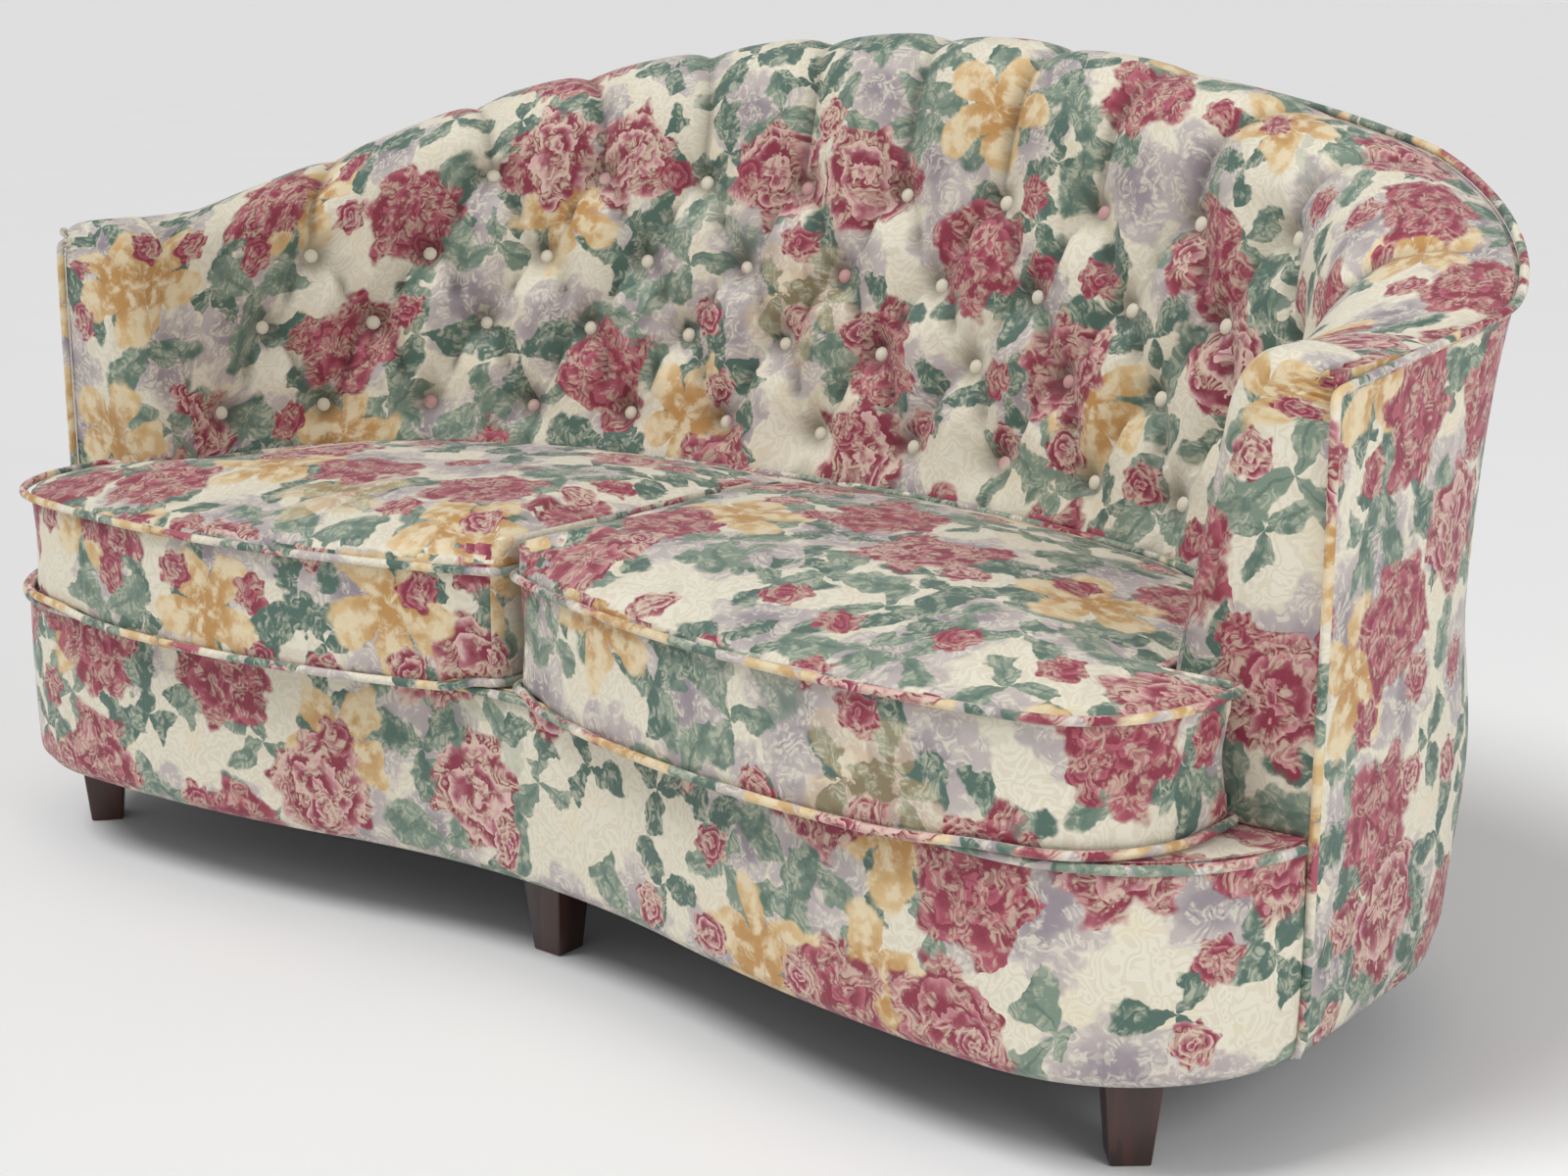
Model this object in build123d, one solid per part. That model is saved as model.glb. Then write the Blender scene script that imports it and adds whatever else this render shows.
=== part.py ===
from build123d import *
import os
from math import sin, cos, pi, sqrt, hypot, exp, atan2, degrees, radians

# Two-seat tub sofa with a kidney-shaped front and a deep-buttoned curved back.
# Millimetres. X runs to the right seen from the front, the front faces -Y, Z is up,
# and the legs stand on Z = 0. The plan is drawn with Y = 0 at the corner legs' line and
# moved at the end so that the origin lies under the middle of the sofa.

os.makedirs("parts", exist_ok=True)

# Heights
BASE_LOW = 93          # underside of the upholstered base
BASE_HIGH = 292        # top of the front border and of the seat deck
SEAT_WELT = 410        # centre of the cushions' top piping
CROWN = 34             # rise of each cushion above its top piping
ARM_TOP = 690          # crest of the arm at its front
BACK_TOP = 904         # crest of the back at its centre

# Plan of the front: a hollow between two lobes, then the rounded corners
FRONT_MID = -19        # front line at the centre
FRONT_LOBE = -90       # front line at the lobes
LOBE_X = 610           # from the centre to each lobe
DIP_R = 1000           # radius of the hollow
CORNER_R = 207         # radius of the front corners
FACING_Y = 88          # front of the arms

# Plan of the back: U lines, each a straight arm, a corner arc and a flat back arc
BACK_R = 1400
BASE_BACK, BASE_CORNER = 748, 345                         # outside, at the base
ARM_IN, BACK_IN, BUTTON_CORNER = 93, 173, 390             # from the base in to the button line
ARM_FLARE, BACK_FLARE, WELT_CORNER = 19, 52, 370          # from the base out to the top welt

# Section of the roll, at the arm fronts and at the back centre
ROLL_ARM, ROLL_BACK = 55, 95       # from the crest down to where the inside begins to roll
DROP_ARM, DROP_BACK = 12, 32       # from the crest down to the outside welt
ARM_TOE, TOE_RUN = 22, 140        # how far the roll narrows towards the arm's front, and over what length

# Buttoning
PITCH = 132.5                        # between buttons in a row
ROW_Z = (734, 639, 557, 461)         # height of each row, top to bottom
ROW_COUNT = (9, 12, 13, 14)          # buttons in each row
TUFT = 25                            # depth of a button below the padding
DIP_W, FOLD_W = 40, 32               # reach of a button's dip and of a fold
BUTTON_R, BUTTON_H, BUTTON_GAP = 11, 6, 0.7
ROW_GAP = 40                         # least height between the patches' rows

# Upholstery
PAD, ROLL_PAD = 40, 16 # padding over the inside face and over the crest
COVER = 10             # lined cover on the outside
COVER_GAP = 1.2        # from the cover to the rails
SWELL, WAIST = 20, 0.55  # how far the base swells at the back, and the share of the height where that ends
FACING_T, FACING_ROUND = 28, 20  # padded arm fronts, and the rounding of their inner edge
DECK_T = 12
WELT_R = 4.5
CLEAR = 0.4            # between pieces that part

# Cushions
CUSHION_GAP = 6        # from the centre line to a cushion's piping
CUSHION_FRONT = -16    # front edge at the inner corner
CUSHION_BOW = 96       # how far the front edge bows forward of that
CUSHION_LOBE = 460     # from the centre line to the foremost point
EAR_IN = 67            # ears of the cushions, in from the base
EAR_R = 140            # rounding of the ears
CUSHION_LOW = 5        # bottom piping above the deck
DRAWN = 3              # how far the sides pull in between the pipings

# Frame
RAIL_T = 25
WEB_T = 4
DUST_T = 3
TOP_RAIL_H, TOP_RAIL_T = 48, 20
RAIL_DROP = 8                       # top rail below the padding of the crest
JOINT_GAP = 5                       # packing under the curved top rail
POST_W, POST_D, POST_IN = 34, 48, 2
UPRIGHT_W, UPRIGHT_D = 45, 16
BLOCK, BLOCK_H = 58, 70             # glue block over each leg
CROSS_H = 80
LEG_TOP, LEG_FOOT = 52, 36
LEG_TURN = 40                       # corner legs turn out with the rounded corners
REAR_LEG = 0.62                     # place of the rear legs along the base line
BOLT_R, BOLT_LOW, BOLT_HIGH = 4, 50, 150
STRAP_W, STRAPS, STRAP_PITCH = 50, 9, 145

# Worked-out places
ARM_END = FACING_Y + FACING_T
BASE_HALF = LOBE_X + CORNER_R
BUTTON_HALF, BUTTON_BACK = BASE_HALF - ARM_IN, BASE_BACK - BACK_IN
WELT_HALF, WELT_BACK = BASE_HALF + ARM_FLARE, BASE_BACK + BACK_FLARE
CUSHION_EAR = BASE_HALF - EAR_IN
CORNER_Y = FRONT_LOBE + CORNER_R
DIP_Y = FRONT_MID - DIP_R
LOBE_R = (LOBE_X**2 + (FRONT_LOBE - DIP_Y)**2 - DIP_R**2) / (2 * (FRONT_MID - FRONT_LOBE))
BEND = atan2(LOBE_X, FRONT_LOBE + LOBE_R - DIP_Y)
RAIL_LOW = BASE_LOW + DUST_T
RAIL_HIGH = BASE_HIGH - DECK_T - WEB_T
RAIL_OUT = COVER + COVER_GAP
RAIL_IN = RAIL_OUT + RAIL_T
PIPE_OUT = WELT_R * 0.85            # how far the outside piping stands off the covers it joins
MIDDLE_Y = (CUSHION_FRONT - CUSHION_BOW + WELT_BACK + PIPE_OUT) / 2
ON_FLOOR = (Align.CENTER, Align.CENTER, Align.MIN)


def smooth(t):
    t = max(0.0, min(1.0, t))
    return t * t * (3 - 2 * t)


def mix(a, b, t):
    return a + (b - a) * t


def steps(lo, hi, count):
    return [mix(lo, hi, i / (count - 1)) for i in range(count)]


class ULine:
    """A U-shaped plan line, measured from the back centre to either arm front."""

    def __init__(self, half, back, corner):
        self.half, self.corner = half, corner
        self.cx, self.by = half - corner, back - BACK_R
        self.cy = self.by + sqrt((BACK_R - corner)**2 - self.cx**2)
        self.turn = atan2(self.cx, self.cy - self.by)
        self.runs = (BACK_R * self.turn, corner * (pi / 2 - self.turn), self.cy - ARM_END)
        self.length = sum(self.runs)

    def at(self, s, out=0.0):
        """Point, moved outwards, and outward direction at a distance from the back centre."""
        side, s = (1 if s >= 0 else -1), abs(s)
        back, corner, _ = self.runs
        if s <= back:
            a = s / BACK_R
            p = (BACK_R * sin(a), self.by + BACK_R * cos(a))
        elif s <= back + corner:
            a = self.turn + (s - back) / self.corner
            p = (self.cx + self.corner * sin(a), self.cy + self.corner * cos(a))
        else:
            a = pi / 2
            p = (self.half, self.cy - (s - back - corner))
        n = (side * sin(a), cos(a))
        return (side * p[0] + out * n[0], p[1] + out * n[1]), n

    def like(self, other, s):
        """The distance here that matches s on another line, stretch by stretch."""
        side, s, here, there = (1 if s >= 0 else -1), abs(s), 0.0, 0.0
        for mine, yours in zip(self.runs, other.runs):
            if s <= there + yours + 1e-9:
                return side * (here + mine * (s - there) / yours)
            here, there = here + mine, there + yours
        return side * self.length

    def edges(self, out, lo=None, hi=None):
        """The line's stretches from lo to hi, moved outwards."""
        lo, hi = -self.length if lo is None else lo, self.length if hi is None else hi
        back, bend = self.runs[0], self.runs[0] + self.runs[1]
        stops = [-self.length, -bend, -back, back, bend, self.length]
        made = []
        for a, b, straight in zip(stops, stops[1:], (True, False, False, False, True)):
            a, b = max(a, lo), min(b, hi)
            if b - a > 1:
                p, m, q = (self.at(s, out)[0] for s in (a, (a + b) / 2, b))
                made.append(Line(p, q) if straight else ThreePointArc(p, m, q))
        return made


BUTTONS_U = ULine(BUTTON_HALF, BUTTON_BACK, BUTTON_CORNER)
BASE_U = ULine(BASE_HALF, BASE_BACK, BASE_CORNER)
WELT_U = ULine(WELT_HALF, WELT_BACK, WELT_CORNER)
RUN = BUTTONS_U.length


def front_edges(inset, end):
    """The kidney front moved back by inset, up to the height end of both corners."""
    dip_r, lobe_r, corner_r = DIP_R + inset, LOBE_R - inset, CORNER_R - inset
    stop = atan2(end - CORNER_Y, sqrt(corner_r**2 - (end - CORNER_Y)**2))

    def on_dip(a):
        return (dip_r * sin(a), DIP_Y + dip_r * cos(a))

    def on_lobe(a):
        return (LOBE_X - lobe_r * sin(a), FRONT_LOBE + LOBE_R - lobe_r * cos(a))

    def on_corner(a):
        return (LOBE_X + corner_r * cos(a), CORNER_Y + corner_r * sin(a))

    right = [(on_dip(BEND), on_lobe(BEND / 2), on_lobe(0.0)),
             (on_lobe(0.0), on_corner((stop - pi / 2) / 2), on_corner(stop))]
    left = [tuple((-x, y) for x, y in reversed(arc)) for arc in reversed(right)]
    middle = [(on_dip(-BEND), on_dip(0.0), on_dip(BEND))]
    return [ThreePointArc(*arc) for arc in left + middle + right]


def front_y(x, inset):
    """Front line, moved back, at a distance from the centre."""
    if x < DIP_R * sin(BEND):
        return DIP_Y + sqrt((DIP_R + inset)**2 - x * x)
    if x < LOBE_X:
        return FRONT_LOBE + LOBE_R - sqrt((LOBE_R - inset)**2 - (x - LOBE_X)**2)
    return CORNER_Y - sqrt((CORNER_R - inset)**2 - (x - LOBE_X)**2)


def rear_y(x, inset):
    """Back line of the base, moved in, at a distance from the centre."""
    lo, hi = 0.0, BASE_U.runs[0] + BASE_U.runs[1]
    for _ in range(40):
        mid = (lo + hi) / 2
        lo, hi = (mid, hi) if BASE_U.at(mid, -inset)[0][0] < x else (lo, mid)
    return BASE_U.at(lo, -inset)[0][1]


def between(one, other):
    """Face between two rows of edges that run the same way."""
    return make_face(one + other + [Line(one[0] @ 0, other[0] @ 0), Line(one[-1] @ 1, other[-1] @ 1)])


def slab(face, low, high):
    return extrude(Pos(0, 0, low) * face, high - low, dir=(0, 0, 1))


def mirrored(shape):
    return mirror(shape, about=Plane.YZ)


def sheet(near, far):
    """One smooth solid between two grids of points."""
    faces = [Face.make_surface_from_array_of_points(g, tol=0.3, min_deg=3, max_deg=3)
             for g in (near, far)]

    def apart(one, other):
        return min((one @ 0 - other @ 0).length + (one @ 1 - other @ 1).length,
                   (one @ 0 - other @ 1).length + (one @ 1 - other @ 0).length)

    sides = [Face.make_surface_from_curves(edge, min(faces[1].edges(), key=lambda e: apart(edge, e)))
             for edge in faces[0].edges()]
    return Solid(Shell(faces + sides))


def patch(points):
    """Bicubic face through a four by four grid of points."""
    def controls(p):
        return [p[0], (p[1] * 18 - p[0] * 5 - p[2] * 9 + p[3] * 2) / 6,
                (p[2] * 18 - p[3] * 5 - p[1] * 9 + p[0] * 2) / 6, p[3]]
    rows = [controls(row) for row in points]
    columns = [controls([row[i] for row in rows]) for i in range(4)]
    return Face.make_bezier_surface([[columns[i][j] for i in range(4)] for j in range(4)])


def ribbon(near, far):
    """Straight face between matching edges of a cover and its lining."""
    return patch([[p + (q - p) * t for p, q in zip(near, far)] for t in steps(0, 1, 4)])


# The section of the back: the same rules run from the back centre to the arm fronts

def rise(s):
    return max(0.0, 1 - (s / RUN)**2)**1.6


def rim(s):
    """Height of the crest."""
    return mix(ARM_TOP, BACK_TOP, rise(s))


def turn_height(s):
    """Where the inside face begins to roll over."""
    return rim(s) - mix(ROLL_ARM, ROLL_BACK, rise(s))


def welt_point(s, out=0.0):
    (x, y), _ = WELT_U.at(WELT_U.like(BUTTONS_U, s), out)
    toe = ARM_TOE * smooth((abs(s) - RUN + TOE_RUN) / TOE_RUN)
    return Vector(x - toe if s > 0 else x + toe, y, rim(s) - mix(DROP_ARM, DROP_BACK, rise(s)))


def lean(s, z):
    """How far outside the button line the button seats lie at a height."""
    back = smooth((RUN - abs(s)) / 500)
    return mix(-18, -8, back) + mix(0.17, 0.27, back) * (max(z, SEAT_WELT) - ROW_Z[-1])


def bezier(a, b, c, d, t):
    u = 1 - t
    return a * u**3 + b * (3 * u * u * t) + c * (3 * u * t * t) + d * t**3


LINE_END, CREST = 0.6, 0.82          # shares of the section at the roll and at the crest


def padded(s, v):
    """Face of the padding before buttoning: v is 0 at the deck and 1 at the outside cover."""
    if v <= LINE_END:
        z = mix(BASE_HIGH, turn_height(s), v / LINE_END)
        return Vector(*BUTTONS_U.at(s, lean(s, z) - TUFT)[0], z)
    start, end = padded(s, LINE_END), welt_point(s, -COVER - CLEAR)
    up = (start - padded(s, LINE_END - 0.05)).normalized() * (0.55 * (rim(s) - start.Z))
    across = Vector(end.X - start.X, end.Y - start.Y, 0)
    top = start + across / 2 + Vector(0, 0, rim(s) - start.Z)
    if v <= CREST:
        return bezier(start, start + up, top - across * 0.27, top, (v - LINE_END) / (CREST - LINE_END))
    return bezier(top, top + across * 0.22, end - across * 0.14 + Vector(0, 0, 8), end,
                  (v - CREST) / (1 - CREST))


def inward(s, v):
    """Direction from the padded face into the padding."""
    along = padded(min(s + 4, RUN), v) - padded(max(s - 4, -RUN), v)
    up = padded(s, min(v + 0.01, 1)) - padded(s, max(v - 0.01, 0))
    return up.cross(along).normalized()


BUTTON_ROWS = [[((i - (count - 1) / 2) * PITCH, z) for i in range(count)]
               for z, count in zip(ROW_Z, ROW_COUNT)]


def find_folds():
    """Folds between neighbouring buttons, up over the crest and down behind the seat."""
    folds = []
    for upper, lower in zip(BUTTON_ROWS, BUTTON_ROWS[1:]):
        folds += [(a, b) for a in upper for b in lower if abs(a[0] - b[0]) < 0.6 * PITCH]
    for number, row in enumerate(BUTTON_ROWS):
        above = BUTTON_ROWS[number - 1] if number else []
        for s, z in row:
            if not any(abs(s - t) < 0.6 * PITCH for t, _ in above):
                folds.append(((s, z), (s, rim(s) + 40)))
    return folds + [((s, z), (s, BASE_HIGH)) for s, z in BUTTON_ROWS[-1]]


FOLDS = find_folds()


def sink(s, z):
    """How deep the buttoning pulls the padding in, from 0 to 1."""
    dip = max(exp(-((s - a)**2 + (z - b)**2) / DIP_W**2) for row in BUTTON_ROWS for a, b in row)
    fold = 0.0
    for (a, b), (c, d) in FOLDS:
        if abs(s - (a + c) / 2) < PITCH:
            t = ((s - a) * (c - a) + (z - b) * (d - b)) / ((c - a)**2 + (d - b)**2)
            t = max(0.0, min(1.0, t))
            fold = max(fold, exp(-(hypot(s - mix(a, c, t), z - mix(b, d, t)) / FOLD_W)**2))
    return max(dip, 0.42 * fold)


def tufted(s, v):
    p = padded(s, v)
    fade = 1 - smooth((v - LINE_END - 0.04) / 0.2)
    return p + inward(s, v) * (TUFT * fade * sink(s, p.Z))


def lining(s, v):
    return padded(s, v) + inward(s, v) * mix(PAD, ROLL_PAD, smooth((v - 0.45) / 0.2))


def levels(s):
    """Where the patches of the inside cover meet: deck, button rows, crest and welt."""
    marks, top = [], turn_height(s)
    for z in ROW_Z:
        top = min(z, top)
        marks.insert(0, LINE_END * (top - BASE_HIGH) / (turn_height(s) - BASE_HIGH))
        top -= ROW_GAP
    return [0.0] + marks + [CREST, 1.0]


def quilt(stops, marks, near, far):
    """Closed cover of smooth patches, with its lining, in columns and rows."""
    stops, faces = sorted(stops), []
    for a, b in zip(stops, stops[1:]):
        places = steps(a, b, 4)
        rows = [marks(s) for s in places]
        for k in range(len(rows[0]) - 1):
            cells = [[(s, v) for v in steps(m[k], m[k + 1], 4)] for s, m in zip(places, rows)]
            top, low = [[[point(s, v) for s, v in column] for column in cells] for point in (near, far)]
            faces += [patch(top), patch(low)]
            if a == stops[0]:
                faces.append(ribbon(top[0], low[0]))
            if b == stops[-1]:
                faces.append(ribbon(top[-1], low[-1]))
            if k == 0:
                faces.append(ribbon([c[0] for c in top], [c[0] for c in low]))
            if k == len(rows[0]) - 2:
                faces.append(ribbon([c[-1] for c in top], [c[-1] for c in low]))
    return Solid(Shell(faces))


BENDS = [side * bend for side in (-1, 1) for bend in (BUTTONS_U.runs[0], BUTTONS_U.runs[0] + BUTTONS_U.runs[1])]


def inside_back():
    """Buttoned cover with its padding, one patch to each half pitch and row."""
    count, arms = int(RUN / PITCH * 2), (BENDS[1], BENDS[3])
    halves = [k * PITCH / 2 for k in range(-count, count + 1)]
    return quilt([-RUN, RUN, *arms] + [s for s in halves if min(abs(s - a) for a in arms) > 1],
                 levels, tufted, lining)


def button_set():
    made = []
    for s, z in (place for row in BUTTON_ROWS for place in row):
        lo, hi = 0.0, CREST
        for _ in range(30):
            mid = (lo + hi) / 2
            lo, hi = (mid, hi) if padded(s, mid).Z < z else (lo, mid)
        n, here = inward(s, lo), padded(s, lo)
        climb = BUTTON_R * 0.01 / (padded(s, lo + 0.01) - here).length
        wall = [tufted(s + BUTTON_R * cos(k * pi / 4), lo + climb * sin(k * pi / 4)) for k in range(8)]
        seat = here + n * (min((p - here).dot(n) for p in wall) - BUTTON_GAP)
        made.append(Plane(origin=seat, z_dir=-n) * loft(
            [RegularPolygon(BUTTON_R, 8), Pos(0, 0, BUTTON_H) * RegularPolygon(0.6 * BUTTON_R, 8)]))
    return Compound(children=made)


def outside_point(s, w, inset=0.0):
    """Outside cover: w is 0 at the base and 1 at the welt."""
    (x, y), n = BASE_U.at(BASE_U.like(BUTTONS_U, s))
    high = welt_point(s)
    spread = smooth((RUN - abs(s)) / 350)
    out = SWELL * spread * sin(pi * min(w / WAIST, 1))**2 - inset
    flare = mix(w**6, w**3, spread)
    return Vector(mix(x, high.X, flare) + out * n[0], mix(y, high.Y, flare) + out * n[1],
                  mix(BASE_LOW, high.Z, w))


def outside(lo, hi):
    """A stretch of the outside cover."""
    stops = steps(lo, hi, 7)
    stops += [b for b in BENDS if lo < b < hi and min(abs(b - s) for s in stops) > 1]
    return quilt(stops, lambda s: (0, WAIST / 2, WAIST, 0.8, 1), outside_point,
                 lambda s, w: outside_point(s, w, COVER))


def arm_facing():
    """Front panel of the right arm: the section of the roll, flat."""
    seat = LINE_END * (SEAT_WELT - BASE_HIGH) / (turn_height(RUN) - BASE_HIGH)
    face_up = [padded(RUN, v) for v in (0, seat, LINE_END)]
    over = [padded(RUN, v) for v in (LINE_END, 0.67, 0.74, CREST, 0.9, 0.96)] + [welt_point(RUN)]
    down = [outside_point(RUN, w) for w in (1, 0.95, 0.85, 0.7, 0.5)]
    foot = Vector(BASE_HALF, BASE_HIGH)
    face_up, over, down = [[Vector(p.X, p.Z) for p in row] for row in (face_up, over, down)]
    face = make_face([Polyline(*face_up), Spline(*over), Spline(*down),
                      Line(down[-1], foot), Line(foot, face_up[0])])
    pad = extrude(Pos(0, FACING_Y, 0) * (Plane.XZ * face), FACING_T, dir=(0, 1, 0))
    front = pad.edges().filter_by_position(Axis.Y, FACING_Y - 0.1, FACING_Y + 0.1)
    inner = [e for e in front if e.center().X < face_up[0].X + 2 and e.length > 2 and e.center().Z > BASE_HIGH + 1]
    return fillet(inner, FACING_ROUND)


def cord_section():
    return RegularPolygon(WELT_R, 6)


def piping(path):
    return sweep(Plane(origin=path @ 0, z_dir=path % 0) * cord_section(), path=path)


def piping_through(points):
    """Piping along points, each section carried on from the last without twist."""
    sections, side = [], Vector(1, 0, 0)
    for i, p in enumerate(points):
        ahead = (points[min(i + 1, len(points) - 1)] - points[max(i - 1, 0)]).normalized()
        side = (side - ahead * side.dot(ahead)).normalized()
        sections.append(Plane(origin=p, x_dir=side, z_dir=ahead) * cord_section())
    return loft(sections, ruled=True)


def border_welt():
    path = Wire(front_edges(-WELT_R, FACING_Y - 3 * WELT_R))
    return piping(Pos(0, 0, BASE_HIGH - WELT_R - CLEAR) * path)


def outside_welt():
    """Piping up one arm front, round the outside of the crest and down the other."""
    front = [outside_point(RUN, w) for w in (0.01, 0.3, 0.6, 0.75, 0.85, 0.92, 0.97)]
    climb = [Vector(p.X + PIPE_OUT, FACING_Y - PIPE_OUT, p.Z) for p in front]
    end = welt_point(RUN)
    climb.append(Vector(end.X + PIPE_OUT, FACING_Y - 0.7 * PIPE_OUT, end.Z + 0.7 * PIPE_OUT))
    crest = [welt_point(s, PIPE_OUT) + Vector(0, 0, PIPE_OUT) for s in steps(0.995 * RUN, -0.995 * RUN, 61)]
    fall = [Vector(-p.X, p.Y, p.Z) for p in reversed(climb)]
    return piping_through([*climb, *crest, *fall])


# Frame

def column(low, high, radius):
    """Hexagonal bar or its hole."""
    return slab(RegularPolygon(radius, 6), low, high)


def leg_spots():
    """Place and turn of each leg, so that its glue block bears on the rail."""
    corner_in, rear_in = CORNER_R - RAIL_IN, BASE_CORNER - RAIL_IN
    reach = sqrt(corner_in**2 - BLOCK**2 / 4) - BLOCK / 2
    turn = radians(LEG_TURN)
    x, y = LOBE_X + reach * sin(turn), CORNER_Y - reach * cos(turn)
    rear, n = BASE_U.at(REAR_LEG * BASE_U.length, sqrt(rear_in**2 - BLOCK**2 / 4) - BLOCK / 2 - BASE_CORNER)
    swing = degrees(atan2(n[0], n[1]))
    return {"front_left_leg": (-x, y, -LEG_TURN),
            "front_centre_leg": (0, FRONT_MID + RAIL_IN + BLOCK / 2, 0),
            "front_right_leg": (x, y, LEG_TURN),
            "rear_left_leg": (-rear[0], rear[1], swing),
            "rear_right_leg": (rear[0], rear[1], -swing)}


SPOTS = leg_spots()


def on_spots(shape):
    return [Pos(x, y, 0) * Rot(0, 0, turn) * shape for x, y, turn in SPOTS.values()]


def leg(x, y, turn):
    taper = degrees(atan2((LEG_TOP - LEG_FOOT) / 2, BASE_LOW))
    body = extrude(Pos(0, 0, BASE_LOW) * Rectangle(LEG_TOP, LEG_TOP), BASE_LOW, dir=(0, 0, -1), taper=taper)
    body -= column(BOLT_LOW, BASE_LOW, BOLT_R + CLEAR / 2)
    return Pos(x, y, 0) * Rot(0, 0, turn) * body


def glue_blocks():
    block = Pos(0, 0, RAIL_LOW) * Box(BLOCK, BLOCK, BLOCK_H, align=ON_FLOOR)
    return Compound(children=on_spots(block - column(RAIL_LOW, RAIL_LOW + BLOCK_H, BOLT_R + CLEAR / 2)))


def front_rail():
    return slab(between(front_edges(RAIL_OUT, CORNER_Y), front_edges(RAIL_IN, CORNER_Y)), RAIL_LOW, RAIL_HIGH)


def base_rail(lo, hi):
    """A stretch of the rail that follows the base round the back."""
    return slab(between(BASE_U.edges(-RAIL_OUT, lo, hi), BASE_U.edges(-RAIL_IN, lo, hi)), RAIL_LOW, RAIL_HIGH)


def cross_rail():
    front, back = FRONT_MID + RAIL_IN, BASE_BACK - RAIL_IN - CLEAR
    return Pos(0, (front + back) / 2, RAIL_HIGH - CROSS_H) * Box(RAIL_T, back - front, CROSS_H, align=ON_FLOOR)


def rail_point(s, out, down):
    """The rail under the crest: out across its thickness, down from its top."""
    crest, n = padded(s, CREST), BUTTONS_U.at(s)[1]
    return Vector(crest.X + out * n[0], crest.Y + out * n[1], rim(s) - ROLL_PAD - RAIL_DROP - down)


def top_rail():
    places, drops = steps(-RUN, RUN, 41), steps(0, TOP_RAIL_H, 4)
    return sheet([[rail_point(s, -TOP_RAIL_T / 2, d) for d in drops] for s in places],
                 [[rail_point(s, TOP_RAIL_T / 2, d) for d in drops] for s in places])


def arm_post():
    x = BASE_HALF - RAIL_IN - POST_IN - POST_W / 2
    top = rail_point(RUN, 0, TOP_RAIL_H + JOINT_GAP).Z
    return Pos(x, ARM_END + POST_D / 2, RAIL_LOW) * Box(POST_W, POST_D, top - RAIL_LOW, align=ON_FLOOR)


def back_uprights():
    """Battens from the bottom rail up to the top rail, leaning with the back."""
    made = []
    for share in (-0.84, -0.6, -0.36, -0.12, 0.12, 0.36, 0.6, 0.84):
        s = share * RUN
        (x, y), n = BASE_U.at(BASE_U.like(BUTTONS_U, s), -COVER - UPRIGHT_D / 2)
        head = rail_point(s, 0, TOP_RAIL_H + JOINT_GAP + 6 * abs(share))
        turn = -degrees(atan2(n[0], n[1]))
        ends = [Pos(x, y, RAIL_HIGH), Pos(head.X, head.Y, head.Z)]
        made.append(loft([end * Rot(0, 0, turn) * Rectangle(UPRIGHT_W, UPRIGHT_D) for end in ends]))
    return Compound(children=made)


def seat_webbing():
    """Straps from the front rail to the back rail, clear of the battens' feet."""
    straps, inset = [], COVER + UPRIGHT_D + 1
    for i in range(STRAPS):
        x = (i - (STRAPS - 1) / 2) * STRAP_PITCH
        reach = abs(x) + STRAP_W / 2
        a, b = max(front_y(abs(x), inset), front_y(reach, inset)), rear_y(reach, inset)
        straps.append(Pos(x, (a + b) / 2, RAIL_HIGH) * Box(STRAP_W, b - a, WEB_T, align=ON_FLOOR))
    return Compound(children=straps)


def seat_deck():
    return slab(between(front_edges(COVER, FACING_Y), BUTTONS_U.edges(0)), RAIL_HIGH + WEB_T, BASE_HIGH)


def dust_cover():
    cloth = slab(between(front_edges(RAIL_OUT, ARM_END), BASE_U.edges(-RAIL_OUT)), BASE_LOW, RAIL_LOW)
    for hole in on_spots(column(BASE_LOW, RAIL_LOW, BOLT_R + CLEAR / 2)):
        cloth -= hole
    return cloth


# Cushions, modelled at the right and mirrored

EAR_Y = FACING_Y - WELT_R - CLEAR


def cushion_plan(ear_corners):
    """Plan along the piping: bowed front, an ear before the arm, then the curve of the back."""
    out = min(lean(RUN, 0), lean(0, 0)) - TUFT - CLEAR - WELT_R
    bow_r = ((CUSHION_LOBE - CUSHION_GAP)**2 + CUSHION_BOW**2) / (2 * CUSHION_BOW)
    ear_front = CUSHION_FRONT - CUSHION_BOW + bow_r - sqrt(bow_r**2 - (CUSHION_EAR - CUSHION_LOBE)**2)
    inner, lobe = (CUSHION_GAP, CUSHION_FRONT), (CUSHION_LOBE, CUSHION_FRONT - CUSHION_BOW)
    ear, heel = (CUSHION_EAR, ear_front), (CUSHION_EAR, EAR_Y)
    waist = (BUTTON_HALF + out, EAR_Y)
    rear = BUTTONS_U.edges(out, CUSHION_GAP, BUTTONS_U.runs[0] + BUTTONS_U.runs[1])
    face = make_face([ThreePointArc(inner, lobe, ear), Line(ear, heel), Line(heel, waist),
                      Line(waist, rear[-1] @ 1), *rear, Line(rear[0] @ 0, inner)])
    rounds = [(inner, 24), (ear, EAR_R), (rear[0] @ 0, 20)] + list(zip((heel, waist), ear_corners))
    for corner, radius in rounds:
        spot = face.vertices().sort_by_distance((*tuple(corner)[:2], 0))[0]
        face = fillet(spot, radius)
    return face


def shrunk(wire, share, height):
    """The plan drawn in towards the waist's line, at a height."""
    x = (CUSHION_GAP + CUSHION_EAR) / 2
    return Pos(x, EAR_Y, height) * scale(Pos(-x, -EAR_Y, 0) * wire, share)


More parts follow.
